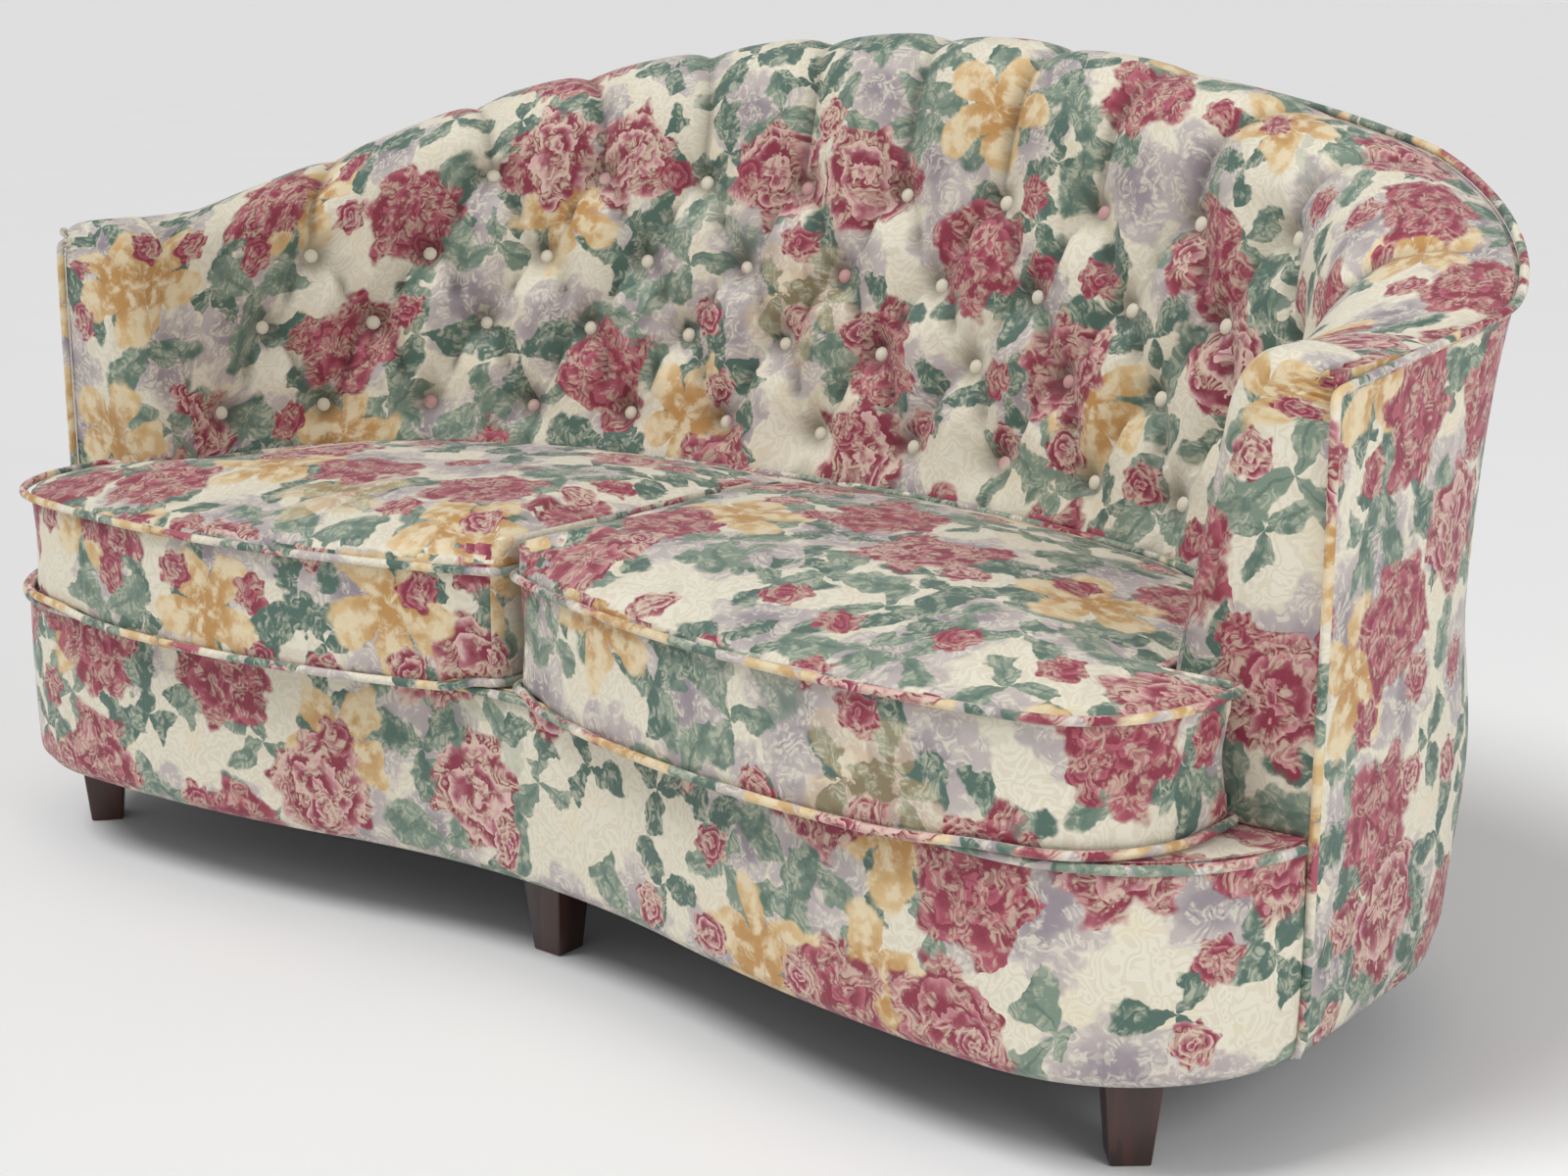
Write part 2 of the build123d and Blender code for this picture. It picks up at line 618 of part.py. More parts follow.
def seat_cushion(plan):
    """Crowned cushion within its piping, its sides drawn in between the two."""
    edge = offset(plan, -WELT_R - CLEAR)
    tucked = offset(plan, -WELT_R - DRAWN)
    foot = offset(plan, -WELT_R - 2 * DRAWN)
    low, middle = BASE_HIGH + CUSHION_LOW, (BASE_HIGH + CUSHION_LOW + SEAT_WELT) / 2
    body = [Pos(0, 0, BASE_HIGH + CLEAR) * foot, Pos(0, 0, low) * edge, Pos(0, 0, middle) * tucked]
    tops = [shrunk(edge, share, SEAT_WELT + CROWN * (1 - share**4))
            for share in (1, 0.98, 0.95, 0.9, 0.83, 0.73, 0.6, 0.4)]
    return loft(body + tops, ruled=True)


def cushion_welts(plan):
    path = plan.face().outer_wire()
    return Compound(children=[piping(Pos(0, 0, z) * path) for z in (BASE_HIGH + CUSHION_LOW, SEAT_WELT)])


# Every node of the sofa, written to its own file

RIGHT_CUSHION, RIGHT_WELTS = seat_cushion(cushion_plan(())), cushion_welts(cushion_plan((1.2 * WELT_R, 1.2 * WELT_R)))
RIGHT_FACING, RIGHT_POST = arm_facing(), arm_post()
BACK_RUN, BEND_RUN = BASE_U.runs[0], BASE_U.runs[0] + BASE_U.runs[1]
SIDE_END = BEND_RUN + BASE_U.cy - CORNER_Y

NODES = {
    "front_rail": front_rail(),
    "back_rail": base_rail(-BACK_RUN, BACK_RUN),
    "left_corner_rail": base_rail(-BEND_RUN, -BACK_RUN),
    "right_corner_rail": base_rail(BACK_RUN, BEND_RUN),
    "left_side_rail": base_rail(-SIDE_END, -BEND_RUN),
    "right_side_rail": base_rail(BEND_RUN, SIDE_END),
    "cross_rail": cross_rail(),
    "left_arm_post": mirrored(RIGHT_POST),
    "right_arm_post": RIGHT_POST,
    "back_uprights": back_uprights(),
    "top_rail": top_rail(),
    "glue_blocks": glue_blocks(),
    "leg_bolts": Compound(children=on_spots(column(BOLT_LOW, BOLT_HIGH, BOLT_R))),
    "seat_webbing": seat_webbing(),
    "dust_cover": dust_cover(),
    "seat_deck": seat_deck(),
    "front_border": slab(between(front_edges(0, ARM_END), front_edges(COVER, ARM_END)), BASE_LOW, BASE_HIGH),
    "border_welt": border_welt(),
    "left_outside_arm": outside(-RUN, -RUN / 2),
    "outside_back": outside(-RUN / 2, RUN / 2),
    "right_outside_arm": outside(RUN / 2, RUN),
    "outside_welt": outside_welt(),
    "left_arm_facing": mirrored(RIGHT_FACING),
    "right_arm_facing": RIGHT_FACING,
    "inside_back": inside_back(),
    "back_buttons": button_set(),
    "left_cushion": mirrored(RIGHT_CUSHION),
    "left_cushion_welts": mirrored(RIGHT_WELTS),
    "right_cushion": RIGHT_CUSHION,
    "right_cushion_welts": RIGHT_WELTS,
}
NODES.update({name: leg(*spot) for name, spot in SPOTS.items()})

for name, solid in NODES.items():
    export_step(Pos(0, -MIDDLE_Y, 0) * solid, f"parts/{name}.step")
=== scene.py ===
# %% [markdown]
# # A tub sofa with a buttoned back
# This lesson dresses a packed sofa frame in its upholstery. The frame comes in as fixed
# solids, in metres, and every piece made here rides on one of its bodies: the sofa itself
# or one of the two loose seat cushions.

# %% Load the frame
import bpy
import bmesh
import numpy as np
from math import atan2, cos, pi, radians, sin, sqrt, tan
from mathutils import Matrix, Vector, kdtree


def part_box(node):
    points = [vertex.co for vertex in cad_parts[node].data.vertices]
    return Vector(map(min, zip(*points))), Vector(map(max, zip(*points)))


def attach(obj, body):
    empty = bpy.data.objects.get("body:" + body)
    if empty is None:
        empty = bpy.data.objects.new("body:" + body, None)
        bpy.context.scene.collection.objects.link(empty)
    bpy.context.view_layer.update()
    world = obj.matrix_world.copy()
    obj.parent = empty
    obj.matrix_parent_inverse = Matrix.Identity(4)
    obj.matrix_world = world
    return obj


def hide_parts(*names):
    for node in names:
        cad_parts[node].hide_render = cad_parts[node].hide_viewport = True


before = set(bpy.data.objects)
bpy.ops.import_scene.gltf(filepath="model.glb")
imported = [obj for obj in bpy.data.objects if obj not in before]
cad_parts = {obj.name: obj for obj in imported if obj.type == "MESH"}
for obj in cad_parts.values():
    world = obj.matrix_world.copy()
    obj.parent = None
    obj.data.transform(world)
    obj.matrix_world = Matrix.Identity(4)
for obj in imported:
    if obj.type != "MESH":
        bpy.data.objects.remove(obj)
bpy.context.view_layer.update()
SOFA, CUSHIONS = "sofa", {1: "right_seat_cushion", -1: "left_seat_cushion"}
SIDES = {1: "right", -1: "left"}

# %% [markdown]
# ## The lines of the plan
# The sofa is drawn in millimetres from a few plan lines. The back, the base and the top
# piping each follow a U: a flat arc behind, a rounder arc at each corner and a short
# straight arm. Measuring along a U lets a row of buttons follow the curve evenly, so each
# line gives a point for a distance from the back centre. Points stay in arrays, because a
# finely pleated cover has many of them.

# %% Plan sizes
BASE_LOW, BASE_HIGH, LOW_WELT, SEAT_WELT = 93, 292, 297, 410
ARM_TOP, BACK_TOP = 690, 904
FRONT_MID, FRONT_LOBE, LOBE_X, DIP_R, CORNER_R, FACING_Y = -19, -90, 610, 1000, 207, 88
ARM_END, BACK_R, WELT_R = 116, 1400, 4.5
BASE_HALF, BASE_BACK, BACK_OUT = LOBE_X + CORNER_R, 748, 52
INNER_X, INNER_Y, BOW, BOW_X = 6, -16, 96, 460
PIPE_OUT = WELT_R * 0.85
MIDDLE = (INNER_Y - BOW + BASE_BACK + BACK_OUT + PIPE_OUT) / 2
print("the plan's middle lies at y", round(MIDDLE, 1), "mm")


# %% Small helpers for points
def mix(a, b, t):
    return a + (b - a) * t


def smooth(t):
    t = np.clip(t, 0, 1)
    return t * t * (3 - 2 * t)


def stack(x, y, z):
    return np.stack(np.broadcast_arrays(x, y, z), -1).astype(float)


def unit(vectors):
    return vectors / np.maximum(np.linalg.norm(vectors, axis=-1, keepdims=True), 1e-9)


def travelled(points, axis=0):
    """Distance covered so far along one axis of an array of points."""
    step = np.linalg.norm(np.diff(points, axis=axis), axis=-1)
    start = np.zeros_like(np.take(step, [0], axis=axis))
    return np.concatenate([start, np.cumsum(step, axis=axis)], axis=axis)


def metres(points):
    """Plan millimetres to the frame's metres."""
    return (np.asarray(points, float) - (0, MIDDLE, 0)) / 1000


print("the front of the arms lies at y", round(float(metres((0, FACING_Y, 0))[1]), 3), "m")


# %% U lines
class ULine:
    def __init__(self, half, back, corner):
        self.half, self.corner = half, corner
        self.cx, self.by = half - corner, back - BACK_R
        self.cy = self.by + sqrt((BACK_R - corner)**2 - self.cx**2)
        self.turn = atan2(self.cx, self.cy - self.by)
        runs = (BACK_R * self.turn, corner * (pi / 2 - self.turn), self.cy - ARM_END)
        self.marks = np.cumsum((0,) + runs)
        self.length = self.marks[-1]

    def at(self, s, out=0.0):
        """x, y moved outwards, and the outward direction."""
        side, d = np.where(np.asarray(s) >= 0, 1.0, -1.0), np.abs(s)
        _, back, bend, _ = self.marks
        on_back, on_corner = d <= back, d <= bend
        bent = np.where(on_corner, self.turn + (d - back) / self.corner, pi / 2)
        a = np.where(on_back, d / BACK_R, bent)
        x = np.where(on_corner, self.cx + self.corner * np.sin(a), self.half)
        y = np.where(on_corner, self.cy + self.corner * np.cos(a), self.cy - (d - bend))
        x = np.where(on_back, BACK_R * np.sin(a), x)
        y = np.where(on_back, self.by + BACK_R * np.cos(a), y)
        nx, ny = side * np.sin(a), np.cos(a)
        return side * x + out * nx, y + out * ny, nx, ny

    def like(self, other, s):
        """The distance here that matches s on another line."""
        return np.sign(s) * np.interp(np.abs(s), other.marks, self.marks)


BUTTON_LINE = ULine(BASE_HALF - 93, BASE_BACK - 173, 390)
BASE_LINE = ULine(BASE_HALF, BASE_BACK, 345)
WELT_LINE = ULine(BASE_HALF + 19, BASE_BACK + BACK_OUT, 370)
RUN = BUTTON_LINE.length
print("half the back measures", round(RUN), "mm along the buttons")

# %% [markdown]
# ## The kidney front
# The front is a shallow hollow between two lobes that turn into the rounded corners. It is
# five arcs that meet without a kink, so one walk along their lengths gives any point and
# the direction it faces.

# %% Front line
DIP_Y, CORNER_Y = FRONT_MID - DIP_R, FRONT_LOBE + CORNER_R
LOBE_R = (LOBE_X**2 + (FRONT_LOBE - DIP_Y)**2 - DIP_R**2) / (2 * (FRONT_MID - FRONT_LOBE))
BEND = atan2(LOBE_X, FRONT_LOBE + LOBE_R - DIP_Y)
CORNER_SWEEP = pi / 2 + np.arcsin((ARM_END - CORNER_Y) / CORNER_R)
FRONT_RUN = (DIP_R + LOBE_R) * BEND + CORNER_R * CORNER_SWEEP


def front_line(s, out=0.0):
    """Point and facing direction of the front, measured from its middle."""
    side, d = np.where(np.asarray(s) >= 0, 1.0, -1.0), np.abs(s)
    hollow, lobe = DIP_R * BEND, (DIP_R + LOBE_R) * BEND
    in_hollow, in_lobe = d <= hollow, d <= lobe
    a = np.where(in_hollow, d / DIP_R, np.where(in_lobe, (lobe - d) / LOBE_R, 0))
    c = np.where(in_lobe, 0, (d - lobe) / CORNER_R - pi / 2)
    x = np.where(in_lobe, LOBE_X - LOBE_R * np.sin(a), LOBE_X + CORNER_R * np.cos(c))
    y = np.where(in_lobe, FRONT_LOBE + LOBE_R - LOBE_R * np.cos(a), CORNER_Y + CORNER_R * np.sin(c))
    x = np.where(in_hollow, DIP_R * np.sin(a), x)
    y = np.where(in_hollow, DIP_Y + DIP_R * np.cos(a), y)
    nx, ny = np.where(in_lobe, -np.sin(a), np.cos(c)), np.where(in_lobe, -np.cos(a), np.sin(c))
    return side * (x + out * nx), y + out * ny, side * nx, ny


print("front border is", round(2 * FRONT_RUN), "mm long")

# %% [markdown]
# ## The section of the back
# The padded face climbs from the seat, leans outwards and rolls over a crest into the
# outside piping. The crest is high behind and falls to the arms. The same rule gives the
# section everywhere, so the arms and the back are one continuous cover, as on the real one.

# %% Heights and lean
TUFT, LINE_END, CREST = 25, 0.6, 0.82
TOE, TOE_RUN = 22, 140
LEAN_FROM, LEAN_EASE, ARM_LEAN, BACK_LEAN = 461, 500, (-18, 0.17), (-8, 0.27)


def rise(s):
    return np.clip(1 - (np.asarray(s) / RUN)**2, 0, 1)**1.6


def rim(s):
    return mix(ARM_TOP, BACK_TOP, rise(s))


def turn_height(s):
    return rim(s) - mix(55, 95, rise(s))


def welt_point(s, out=0.0):
    """Where the outside piping runs; it turns in a little at the arm fronts."""
    x, y, _, _ = WELT_LINE.at(WELT_LINE.like(BUTTON_LINE, s), out)
    toe = TOE * smooth((np.abs(s) - RUN + TOE_RUN) / TOE_RUN)
    return stack(x - np.sign(s) * toe, y, rim(s) - mix(12, 32, rise(s)))


def lean(s, z):
    back = smooth((RUN - np.abs(s)) / LEAN_EASE)
    start, slope = (mix(a, b, back) for a, b in zip(ARM_LEAN, BACK_LEAN))
    return start + slope * (np.maximum(z, SEAT_WELT) - LEAN_FROM)


print("the crest is", round(float(rim(0))), "mm high behind and", round(float(rim(RUN))), "at the arms")


# %% Padded face
def on_line(s, share):
    z = mix(BASE_HIGH, turn_height(s), share)
    x, y, _, _ = BUTTON_LINE.at(s, lean(s, z) - TUFT)
    return stack(x, y, z)


def bezier(a, b, c, d, t):
    t = np.asarray(t)[..., None]
    return a * (1 - t)**3 + b * 3 * t * (1 - t)**2 + c * 3 * t * t * (1 - t) + d * t**3


def padded_face(s, v):
    """v is 0 at the deck, 1 under the outside piping."""
    s, v = np.broadcast_arrays(np.asarray(s, float), np.asarray(v, float))
    start, end = on_line(s, 1.0), welt_point(s, -2)
    lift = (rim(s) - start[..., 2])[..., None]
    up = unit(start - on_line(s, 0.92)) * 0.55 * lift
    across = (end - start) * (1, 1, 0)
    top = start + across / 2 + lift * (0, 0, 1)
    face = on_line(s, np.minimum(v / LINE_END, 1))
    over = bezier(start, start + up, top - across * 0.27, top,
                  np.clip((v - LINE_END) / (CREST - LINE_END), 0, 1))
    down = bezier(top, top + across * 0.22, end - across * 0.14 + (0, 0, 8), end,
                  np.clip((v - CREST) / (1 - CREST), 0, 1))
    pick = v[..., None]
    return np.where(pick <= LINE_END, face, np.where(pick <= CREST, over, down))


def into(points):
    """Direction into the padding over a grid of points."""
    return unit(np.cross(np.gradient(points, axis=1), np.gradient(points, axis=0)))


strip = padded_face(0, np.linspace(0, 1, 90))
print("a strip up the back takes", round(float(travelled(strip)[-1])), "mm of cloth")

# %% [markdown]
# ## A cloth grid
# A cover is a sheet, so it starts as Blender's grid, whose points are then moved to where
# the rules put them. The grid carries a UV map measured in metres of cloth along its own
# rows and columns, so the print and the weave keep their size where the cover fans out. A
# hem turns the free edges in, as the stapled edge of a real cover does, so no edge looks
# like paper.

# %% Finish a piece
def finish_mesh(name, bm, body, nodes, material):
    """Makes a smooth object of a bmesh, sets it on its body and hides the solids it covers."""
    mesh = bpy.data.meshes.new(name)
    bm.to_mesh(mesh)
    bm.free()
    mesh.polygons.foreach_set("use_smooth", [True] * len(mesh.polygons))
    piece = bpy.data.objects.new(name, mesh)
    bpy.context.scene.collection.objects.link(piece)
    mesh.materials.append(material)
    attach(piece, body)
    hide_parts(*nodes)
    print(name, len(mesh.polygons), "faces")
    return piece


def turn_in_hem(bm, uv, depth):
    """Extrudes the free edges into the padding."""
    bm.normal_update()
    edges = [e for e in bm.edges if e.is_boundary]
    told = {}
    for face in bm.faces:
        for loop in face.loops:
            told[tuple(loop.vert.co)] = (loop[uv].uv.copy(), loop.vert.normal.copy())
    made = bmesh.ops.extrude_edge_only(bm, edges=edges)["geom"]
    for face in (g for g in made if isinstance(g, bmesh.types.BMFace)):
        for loop in face.loops:
            loop[uv].uv = told[tuple(loop.vert.co)][0]
    for vert in (g for g in made if isinstance(g, bmesh.types.BMVert)):
        vert.co -= told[tuple(vert.co)][1] * depth
    return bm


# %% Lay a grid of cloth
def cloth_grid(points, cloth, towards, hem=0.012, shade=None):
    """A sheet through a grid of plan points, with its cloth measured in metres.

    shade is the painted fold shade at each point, from 0 to 1, stored as the attribute fold.
    """
    places, (columns, rows) = metres(points), points.shape[:2]
    bm = bmesh.new()
    bmesh.ops.create_grid(bm, x_segments=columns - 1, y_segments=rows - 1, size=0.5)
    uv = bm.loops.layers.uv.new("cloth")
    fold = None if shade is None else bm.verts.layers.float.new("fold")
    index = {}
    for vert in bm.verts:
        x, y, _ = vert.co
        index[vert] = (round((x + 0.5) * (columns - 1)), round((y + 0.5) * (rows - 1)))
        vert.co = places[index[vert]]
        if fold:
            vert[fold] = shade[index[vert]]
    for face in bm.faces:
        for loop in face.loops:
            loop[uv].uv = cloth[index[loop.vert]]
    bm.normal_update()
    target = Vector(metres(towards))
    if sum(f.normal.dot(target - f.calc_center_median()) for f in bm.faces) < 0:
        bmesh.ops.reverse_faces(bm, faces=bm.faces[:])
    return turn_in_hem(bm, uv, hem) if hem else bm


def cloth_lengths(points, shift=(0.0, 0.0)):
    """Cloth coordinates of a grid: along each row from its middle, and up each column."""
    columns, rows = points.shape[:2]
    along = travelled(points)
    along += along[columns // 2, rows // 2] - along[columns // 2]
    return np.stack([along, travelled(points, 1)], -1) / 1000 + shift


roll = padded_face(np.linspace(-RUN, RUN, 60)[:, None], np.linspace(0, 1, 60)[None, :])
print("the back is cut from cloth of", np.ptp(cloth_lengths(roll), axis=(0, 1)).round(2), "m")

# %% [markdown]
# ## Writing materials as sums
# Node trees are hard to read as links. A small class wraps a socket, so that arithmetic on
# it adds Math nodes, and one method adds any other node. A fabric can then be written the
# way it is thought of: ground, then leaves, then flowers.

# %% Socket arithmetic
class Strand:
    """A value inside a node tree."""

    def __init__(self, nodes, socket):
        self.nodes, self.socket = nodes, socket

    def math(self, operation, *values):
        return self.nodes.node("ShaderNodeMath", {"operation": operation}, values)[0]

    def __add__(self, other): return self.math("ADD", self, other)
    def __radd__(self, other): return self.math("ADD", other, self)
    def __sub__(self, other): return self.math("SUBTRACT", self, other)
    def __rsub__(self, other): return self.math("SUBTRACT", other, self)
    def __mul__(self, other): return self.math("MULTIPLY", self, other)
    def __rmul__(self, other): return self.math("MULTIPLY", other, self)
    def __pow__(self, other): return self.math("POWER", self, other)
    def __abs__(self): return self.math("ABSOLUTE", self)
    def cos(self): return self.math("COSINE", self)
    def sin(self): return self.math("SINE", self)
    def fract(self): return self.math("FRACT", self)
    def floor(self): return self.math("FLOOR", self)

    def ramp(self, low, high):
        """0 below low, 1 above high, eased between."""
        return self.nodes.node("ShaderNodeMapRange", {"interpolation_type": "SMOOTHSTEP"},
                               {"Value": self, "From Min": low, "From Max": high})["Result"]


class Nodes:
    """The node tree of a material or of the sky, and the shader at its end."""

    def __init__(self, owner, shader):
        owner.use_nodes = True
        self.tree = owner.node_tree
        self.shader = self.tree.nodes[shader]

    def node(self, kind, settings=None, sockets=()):
        """Adds a node and returns its outputs by name or number."""
        node = self.tree.nodes.new(kind)
        for key, value in (settings or {}).items():
            setattr(node, key, value)
        pairs = sockets.items() if isinstance(sockets, dict) else enumerate(sockets)
        for key, value in pairs:
            if isinstance(value, Strand):
                self.tree.links.new(value.socket, node.inputs[key])
            else:
                node.inputs[key].default_value = value
        outputs = {o.name: Strand(self, o) for o in node.outputs}
        outputs.update({i: Strand(self, o) for i, o in enumerate(node.outputs)})
        return outputs

    def feed(self, socket, value):
        self.tree.links.new(value.socket, self.shader.inputs[socket])


# %% Materials
class Finish(Nodes):
    """A material under construction."""

    def __init__(self, name, roughness, **settings):
        self.material = bpy.data.materials.new(name)
        super().__init__(self.material, "Principled BSDF")
        self.shader.inputs["Roughness"].default_value = roughness
        for socket, value in settings.items():
            self.shader.inputs[socket.replace("_", " ")].default_value = value

    def mix(self, factor, a, b):
        a, b = ((*c, 1) if isinstance(c, tuple) else c for c in (a, b))
        return self.node("ShaderNodeMix", {"data_type": "RGBA"}, {0: factor, 6: a, 7: b})[2]

    def vector(self, operation, *values, **sockets):
        return self.node("ShaderNodeVectorMath", {"operation": operation},
                         {**dict(enumerate(values)), **sockets})

    def noise(self, vector, scale, detail=2.0, dimensions="2D"):
        return self.node("ShaderNodeTexNoise", {"noise_dimensions": dimensions},
                         {"Vector": vector, "Scale": scale, "Detail": detail})

    def cloth(self):
        """The piece's own cloth map."""
        return self.node("ShaderNodeUVMap", {"uv_map": "cloth"})["UV"]

    def spot(self):
        """The place on the object."""
        return self.node("ShaderNodeTexCoord")["Object"]

    def bump(self, height, strength, distance):
        raised = {"Height": height, "Strength": strength, "Distance": distance}
        self.feed("Normal", self.node("ShaderNodeBump", {}, raised)["Normal"])


def linear(code):
    """A hex colour as scene-linear numbers."""
    parts = [int(code[i:i + 2], 16) / 255 for i in (0, 2, 4)]
    bent = [c / 12.92 if c <= 0.04045 else ((c + 0.055) / 1.055)**2.4 for c in parts]
    return tuple(round(c, 4) for c in bent)


CREAM, CREAM_DARK = linear("EAE4D2"), linear("D3C8AA")
print("the cream ground is", CREAM)

# %% [markdown]
# ## The printed fabric
# The cloth is cream with a damask figure in its weave, printed with loose garden flowers.
# A procedural print needs a repeatable scatter: a Voronoi texture gives each spot on the
# cloth its nearest flower centre and that flower's own random numbers, and the angle and
# distance from the centre draw the petals. Layers go on in the order a printer would use:
# ground, pale flowers, leaves, gold flowers, then the red ones on top. The damask shows
# through the colours as a veil.

# %% Print colours and scattered motifs
BURGUNDY, ROSE, PINK, BLUSH = (linear(c) for c in ("8B2942", "B25A6B", "CF939A", "E2C1B8"))
OCHRE, APRICOT, BUTTER = linear("C09052"), linear("DEC08E"), linear("EADCBA")
MAUVE, MAUVE_PALE = linear("968B93"), linear("C2B8B5")
LEAF, LEAF_DARK, LEAF_PALE = linear("7C9080"), linear("4D6B60"), linear("B7BBA6")
# The second colour here is painted shade, laid into the folds of the buttoning where light hardly
# reaches.
BEIGE, CREASE_SHADE, THREAD = linear("DAC8B0"), linear("3E342C"), linear("8C8272")


class Scatter:
    """Motifs strewn over the cloth: each has its own centre, turn and random numbers."""

    def __init__(self, finish, cloth, pitch, shift, radius, wobble):
        moved = finish.vector("ADD", cloth, (*shift, 0))[0]
        ruffle = finish.noise(moved, 3.2 / pitch, 3)["Color"]
        ruffle = finish.vector("SUBTRACT", ruffle, (0.5, 0.5, 0.5))[0]
        drawn = finish.vector("MULTIPLY_ADD", ruffle, (wobble * radius,) * 3, moved)[0]
        cell = finish.node("ShaderNodeTexVoronoi", {"voronoi_dimensions": "2D", "feature": "F1"},
                           {"Vector": drawn, "Scale": 1 / pitch, "Randomness": 0.72})
        offset = finish.vector("SUBTRACT", drawn, cell["Position"])[0]
        flat = finish.vector("SCALE", offset, Scale=1 / radius)[0]
        xyz = finish.node("ShaderNodeSeparateXYZ", {}, [flat])
        rgb = finish.node("ShaderNodeSeparateColor", {}, [cell["Color"]])
        self.pick, self.tone = rgb[0], rgb[1]
        self.far = finish.vector("LENGTH", flat)[1]
        self.angle = xyz[0].math("ARCTAN2", xyz[1], xyz[0]) + rgb[2] * 6.2832


def inside(edge, far, blur=0.06):
    """1 where a spot lies nearer the centre than the motif's edge."""
    return (edge - far).ramp(-blur, blur)


print("red of the roses", BURGUNDY)

# %% [markdown]
# Each kind of motif is a layer of its own: it takes the colour so far and lays its flowers
# or leaves over it. The layers share two noises, one of soft blotches and one that washes
# the colours, and the veil.

# %% Layers of the print
def pale_flowers(finish, cloth, colour, veil, wash):
    ghost = Scatter(finish, cloth, 0.13, (0.31, 0.17), 0.066, 0.8)
    edge = 0.76 + abs((ghost.angle * 3).cos()) * 0.2
    tint = finish.mix((ghost.far + wash * 0.8).ramp(0.5, 1.2), MAUVE, MAUVE_PALE)
    tint = finish.mix(veil * 0.7, tint, CREAM)
    kept = ghost.pick.ramp(0.2, 0.22)
    return finish.mix(inside(edge, ghost.far, 0.07) * kept, colour, tint)


def leaves(finish, cloth, colour, veil, blotch, layout, pale):
    spray = Scatter(finish, cloth, *layout, 0.5)
    blade = abs((spray.angle * 1.5 + spray.tone * 3).cos())
    edge = blade**2.4 * 1.02
    shade = (spray.tone + blotch - 0.5).ramp(pale - 0.2, pale + 0.3)
    green = finish.mix(shade, LEAF_DARK, LEAF)
    green = finish.mix(veil * 0.9, green, LEAF_PALE)
    green = finish.mix(blade.ramp(0.985, 0.998) * 0.6, green, LEAF_DARK)
    kept = spray.pick.ramp(0.32, 0.34)
    return finish.mix(inside(edge, spray.far, 0.07) * kept, colour, green)


def gold_flowers(finish, cloth, colour, veil, blotch):
    lily = Scatter(finish, cloth, 0.19, (0.53, 0.83), 0.08, 0.55)
    ray = abs((lily.angle * 2.5).cos())
    edge = 0.3 + ray**0.8 * 0.66
    gold = finish.mix((lily.far * 0.9 + blotch * 0.7).ramp(0.45, 1.1), OCHRE, APRICOT)
    gold = finish.mix((blotch + ray * 0.4).ramp(0.75, 1.0) * 0.75, gold, BUTTER)
    gold = finish.mix(ray.ramp(0.35, 0.05) * lily.far.ramp(0.15, 0.4) * 0.6, gold, OCHRE)
    gold = finish.mix(veil * 0.45, gold, BUTTER)
    return finish.mix(inside(edge, lily.far) * lily.pick.ramp(0.5, 0.52), colour, gold)


def roses(finish, cloth, colour, veil, blotch, layout, keep):
    rose = Scatter(finish, cloth, *layout, 0.75)
    edge = 0.84 + (rose.angle * 6 + rose.tone * 5).cos() * 0.09 + (rose.angle * 11).sin() * 0.04
    swirl = rose.far * 3.0 + (rose.angle * 2 + rose.far * 4).sin() * 0.28 + blotch * 0.9
    petal = swirl.fract()
    fold = abs((rose.angle * 2.5 + swirl.floor() * 1.7).sin()).ramp(0.0, 0.35)
    light = finish.mix(rose.tone.ramp(0.4, 0.75), ROSE, PINK)
    red = finish.mix(petal.ramp(0.25, 0.95), BURGUNDY, light)
    red = finish.mix((petal * fold).ramp(0.6, 1.0) * rose.tone.ramp(0.3, 0.9), red, BLUSH)
    red = finish.mix((1 - fold) * 0.5, red, BURGUNDY)
    red = finish.mix(veil * (0.6 + rose.tone * 0.35), red, BEIGE)
    kept = rose.pick.ramp(keep, keep + 0.02)
    return finish.mix(inside(edge, rose.far) * kept, colour, red)


# %% Floral print
LEAF_LAYOUTS = (((0.092, (0.05, 0.43), 0.056), 0.5), ((0.128, (0.71, 0.29), 0.082), 0.3))
ROSE_LAYOUTS = (((0.165, (0.11, 0.61), 0.07), 0.28), ((0.105, (0.87, 0.07), 0.026), 0.42))


def floral(finish, cloth):
    """The print's colour, and the damask figure that also shows in its gloss."""
    bend = finish.noise(cloth, 26, 2)["Color"]
    curl = finish.vector("MULTIPLY_ADD", bend, (0.05, 0.05, 0.05), cloth)[0]
    scroll = finish.node("ShaderNodeTexVoronoi", {"voronoi_dimensions": "2D", "feature": "SMOOTH_F1"},
                         {"Vector": curl, "Scale": 54.0, "Smoothness": 0.3})["Distance"]
    damask = (scroll * 16).sin().ramp(-0.1, 0.35)
    lace = (finish.noise(curl, 120, 2)["Fac"] * 15).sin().ramp(-0.1, 0.4)
    wash = finish.noise(cloth, 17, 4)["Fac"]
    blotch = finish.noise(cloth, 48, 3)["Fac"]
    veil = blotch.ramp(0.42, 0.54) * (damask * 0.55 + lace * 0.4)
    colour = finish.mix(damask * 0.4, CREAM, CREAM_DARK)
    colour = finish.mix(wash.ramp(0.55, 0.75) * 0.4, colour, BUTTER)
    colour = pale_flowers(finish, cloth, colour, veil, wash)
    for layout, pale in LEAF_LAYOUTS:
        colour = leaves(finish, cloth, colour, veil, blotch, layout, pale)
    colour = gold_flowers(finish, cloth, colour, veil, blotch)
    for layout, keep in ROSE_LAYOUTS:
        colour = roses(finish, cloth, colour, veil, blotch, layout, keep)
    return colour, damask


